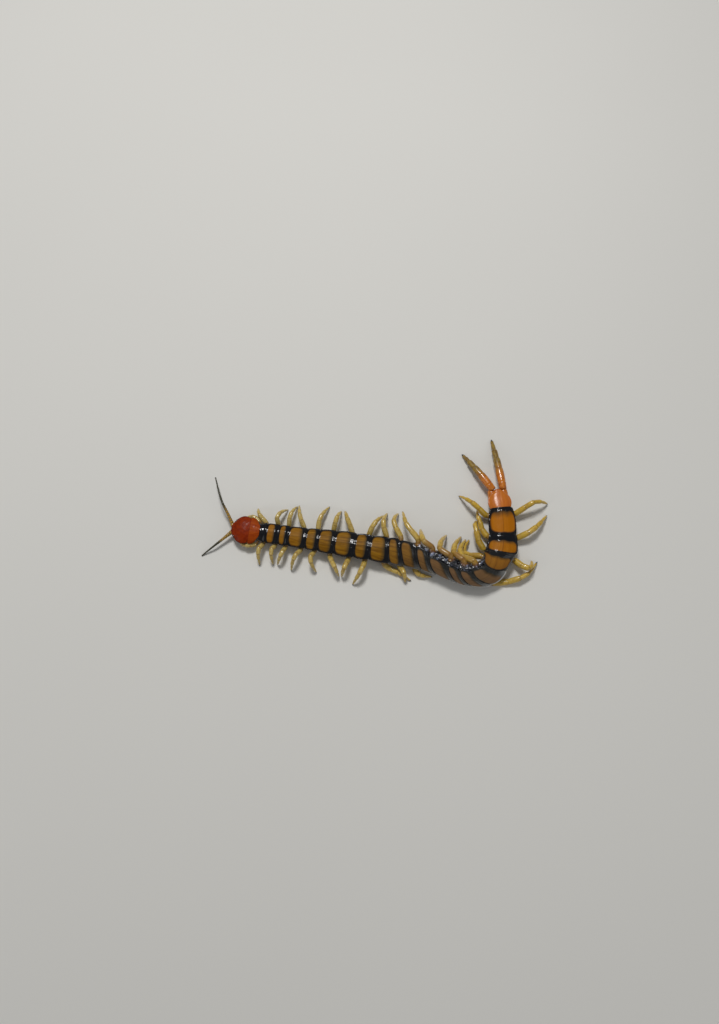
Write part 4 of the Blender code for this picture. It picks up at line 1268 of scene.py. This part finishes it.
def makeFeelers():
    random = np.random.default_rng(8)
    hairs = []
    for word in side:
        point, outward, up = feelerRoot(word)
        root = point + outward * 0.3
        flat = unit(outward * (1, 1, 0))
        across = np.cross((0.0, 0.0, 1.0), flat)
        spots = [root]
        for reach, bow, height in feeler["lines"][word]:
            spot = root + flat * reach + across * bow
            spot[2] = height
            spots.append(spot)
        line = smoothLine(spots, 12)
        count = feeler["articles"]
        articles = []
        for k in range(count):
            taper = (k / count) ** 0.7
            articles.append(("article", 1 / count, 1.0 + (feeler["tip"] / feeler["radius"] - 1.0) * taper))
        shares, sizes, joint, joints = limbProfile(articles, 0.88, 0.5, 4)
        near = np.abs(shares[:, None] - joints[None, :]).min(1)
        sizes = sizes * (1 - 0.12 * bell(near, 0.006))
        sizes[-3:] *= (0.9, 0.7, 0.35)
        points = np.concatenate([[root - outward * 1.5, root - outward * 0.4], along(line, shares)])
        radii = np.concatenate([[1.05, 1.12], sizes]) * feeler["radius"]
        rings = onFloor(tubeRings(points, radii, feeler["around"], outward, up))
        masks = {
            "joint": withEnds(np.concatenate([[0, 0], 0.85 * bell(near, 0.007)]), feeler["around"]),
            "alongLimb": withEnds(np.concatenate([[0, 0], shares]), feeler["around"]),
        }
        node = f"antenna_{word}"
        body3, quads = closedTube(rings)
        makePiece(f"shell_{node}", body3, quads, feelerSurface, masks, [node])
        first = feeler["bareArticles"] / count
        for k in range(feeler["hairs"] * (count - feeler["bareArticles"])):
            share = first + (1 - first) * (k + random.random()) / (feeler["hairs"] * (count - feeler["bareArticles"]))
            spot, ahead = along(line, [share, min(share + 0.01, 1.0)])
            way = unit(ahead - spot) if share < 0.985 else unit(line[-1] - line[-4])
            turn = random.uniform(0, 2 * math.pi)
            sideways = unit(np.cross(way, (0.1, 0.3, 1.0)))
            out = sideways * math.cos(turn) + np.cross(way, sideways) * math.sin(turn)
            size = np.interp(share, shares, sizes) * feeler["radius"]
            hairs.append(hair(spot + out * size * 0.85, unit(out + way * 1.1), out))
    points, quads = joined(hairs)
    makePiece("feelerHair", points, quads, feelerSurface,
              {"alongLimb": np.full(len(points), 0.6), "joint": np.zeros(len(points))}, ())


def hair(seat, way, out):
    # three-sided spike
    sideways = unit(np.cross(way, out))
    corners = [seat + (sideways * math.cos(a) + np.cross(way, sideways) * math.sin(a)) * feeler["hairRadius"]
               for a in (0.0, 2.094, 4.189)]
    tip = seat + way * feeler["hairLength"]
    points = np.array(corners + [tip])
    points[:, 2] = np.maximum(points[:, 2], 0.0)
    return points, np.array(((0, 1, 3, 3), (1, 2, 3, 3), (2, 0, 3, 3), (2, 1, 0, 0)))


makeFeelers()
print("feelers made")


poisonClaws = {
    "plateLength": 2.1,
    "platePlace": 0.36,
    "plateWidths": (6.0, 5.4),
    "plateTop": -0.75,
    "plateHeight": 1.55,
    "radius": 0.92,
    "line": ((3.1, 2.2), (4.0, 3.0), (5.2, 2.8), (6.2, 1.9), (6.7, 0.7)),
    "sizes": ((0.0, 0.90), (0.14, 1.0), (0.34, 1.0), (0.5, 0.86), (0.62, 0.68), (0.74, 0.5), (0.86, 0.34),
              (0.95, 0.22), (1.0, 0.10)),
}


def makePoisonClaws():
    middle = poisonClaws["plateTop"] - 0.5 * poisonClaws["plateHeight"]
    turns = (np.arange(64) + 0.5) * 2 * math.pi / 64
    rings = []
    for share in np.concatenate([[0.0, 0.03, 0.1], np.linspace(0.2, 0.85, 12), [0.92, 0.97, 1.0]]):
        first, last = poisonClaws["plateWidths"]
        round3 = 0.86 + 0.14 * math.sqrt(max(0.0, 1 - (2 * abs(share - 0.5)) ** 8))
        a = np.sign(np.sin(turns)) * np.abs(np.sin(turns)) ** 0.6 * 0.5 * (first + (last - first) * share) * round3
        b = np.sign(np.cos(turns)) * np.abs(np.cos(turns)) ** 0.6 * 0.5 * poisonClaws["plateHeight"] * round3
        b = b + 0.12 * bell(a, 0.12) * (b < 0)
        rings.append(headPoint(np.full(64, poisonClaws["platePlace"] + share * poisonClaws["plateLength"]), a,
                               middle + b))
    points, quads = closedTube(rings)
    makePiece("clawPlate", points, quads, headSurface, {"edge": np.full(len(points), 0.2)}, ["forcipule_base"])
    ahead, left, up = headAxes()
    for word, sign in side.items():
        line = smoothLine([headPoint(f, a * sign, middle) for f, a in poisonClaws["line"]], 10)
        shares = np.linspace(0.0, 1.0, 60)
        sizes = np.interp(shares, *zip(*poisonClaws["sizes"])) * poisonClaws["radius"]
        sizes = sizes * (1 - 0.12 * bell(shares - 0.44, 0.015) - 0.08 * bell(shares - 0.52, 0.012))
        axis = unit(line[1] - line[0])
        points = np.concatenate([[line[0] - axis * 1.2, line[0] - axis * 0.3], along(line, shares)])
        radii = np.concatenate([[0.8, 0.84], sizes / poisonClaws["radius"]]) * poisonClaws["radius"]
        rings = onFloor(tubeRings(points, radii, 28, axis, up, 0.9))
        edge = np.concatenate([[0, 0], smooth(shares, 0.55, 0.85)])
        body3, quads = closedTube(rings)
        makePiece(f"poisonClaw_{word}", body3, quads, headSurface, {"edge": withEnds(edge, 28)},
                  [f"forcipule_{word}"])


def makeMouth():
    # palps and lip between the poison claws, and the toothed plates on the claw plate's front edge
    ahead, left, up = headAxes()
    soft, teeth = [], []
    for sign in side.values():
        line = smoothLine([headPoint(f, a * sign, h) for f, a, h in
                           ((2.3, 1.0, -0.8), (3.9, 1.5, -0.85), (5.2, 1.2, -0.95), (6.0, 0.45, -1.0))], 8)
        sizes = np.interp(np.linspace(0, 1, len(line)), (0, 0.3, 0.5, 0.8, 1), (0.42, 0.5, 0.42, 0.36, 0.12))
        soft.append(closedTube(tubeRings(line, sizes, 16, ahead, up)))
        line = headPoint(np.array((2.2, 2.5, 2.75, 2.85)), np.full(4, 0.75 * sign), np.full(4, -1.35))
        soft.append(closedTube(tubeRings(line, (0.55, 0.6, 0.55, 0.3), 16, ahead, left)))
        for k in range(4):
            seat = headPoint(2.75, (0.38 + 0.25 * k) * sign, -1.35)
            teeth.append(clawCone(seat, ahead, 0.13, 0.36, 0.0, 8))
    lip = headPoint(np.linspace(4.4, 6.75, 9), np.zeros(9), np.full(9, -0.15))
    soft.append(closedTube(tubeRings(lip, (0.7, 1.3, 1.6, 1.7, 1.65, 1.5, 1.25, 0.9, 0.35), 32, ahead, up, 0.45)))
    points, quads = joined(soft)
    makePiece("mouthParts", points, quads, headSurface, {"edge": np.full(len(points), 0.25)}, ())
    points, quads = joined(teeth)
    makePiece("mouthTeeth", points, quads, clawSurface, None, ())


makePoisonClaws()
makeMouth()
print("poison claws made")

# Floor, light and camera
stage = {
    "floor": colour(226, 224, 218),
    "floorSize": 6.0,
    "target": (0.0, 0.0, 4.0),
    "distance": 300.0,
    "elevation": 75.0,
    "lens": 28.48,
    "sensor": 36.0,
}


def makeStage():
    half = stage["floorSize"] / 2
    mesh = bpy.data.meshes.new("floor")
    mesh.from_pydata([(-half, -half, 0), (half, -half, 0), (half, half, 0), (-half, half, 0)], [], [(0, 1, 2, 3)])
    floor = bpy.data.objects.new("floor", mesh)
    bpy.context.scene.collection.objects.link(floor)
    surface, tree, shader = newSurface("floorPaper", 0.85, 0.0, 0.2)
    tint = addNode(tree, "ShaderNodeTexNoise", {"Scale": 30.0})
    tree.links.new(blendColour(tree, tint.outputs["Fac"], stage["floor"], colour(220, 218, 212)),
                   shader.inputs["Base Color"])
    mesh.materials.append(surface)
    world = bpy.data.worlds.new("studio")
    world.use_nodes = True
    world.node_tree.nodes["Background"].inputs["Color"].default_value = (0.95, 0.97, 1.0, 1.0)
    world.node_tree.nodes["Background"].inputs["Strength"].default_value = 0.2
    bpy.context.scene.world = world
    for name, place, size, power in (
        ("keyLight", (-0.08, 0.34, 0.64), 0.15, 2.95),
        ("fillLight", (0.45, -0.40, 0.45), 0.45, 0.45),
        ("rimLight", (-0.50, -0.25, 0.30), 0.30, 0.25),
    ):
        light = bpy.data.lights.new(name, "AREA")
        light.energy = power
        light.size = size
        lamp = bpy.data.objects.new(name, light)
        lamp.location = place
        lamp.rotation_euler = (-Vector(place)).to_track_quat("-Z", "Y").to_euler()
        bpy.context.scene.collection.objects.link(lamp)


def makeCamera():
    elevation = math.radians(stage["elevation"])
    looking = Vector((0.0, math.cos(elevation), -math.sin(elevation)))
    target = (Vector(stage["target"]) - Vector(boxCentre)) * mm
    data = bpy.data.cameras.new("camera")
    data.lens = stage["lens"]
    data.sensor_width = stage["sensor"]
    data.clip_start = 0.01
    camera = bpy.data.objects.new("camera", data)
    camera.location = target - looking * stage["distance"] * mm
    camera.rotation_euler = looking.to_track_quat("-Z", "Y").to_euler()
    bpy.context.scene.collection.objects.link(camera)
    bpy.context.scene.camera = camera


makeStage()
makeCamera()
bpy.context.scene.view_settings.view_transform = "Standard"
print("floor, light and camera made")
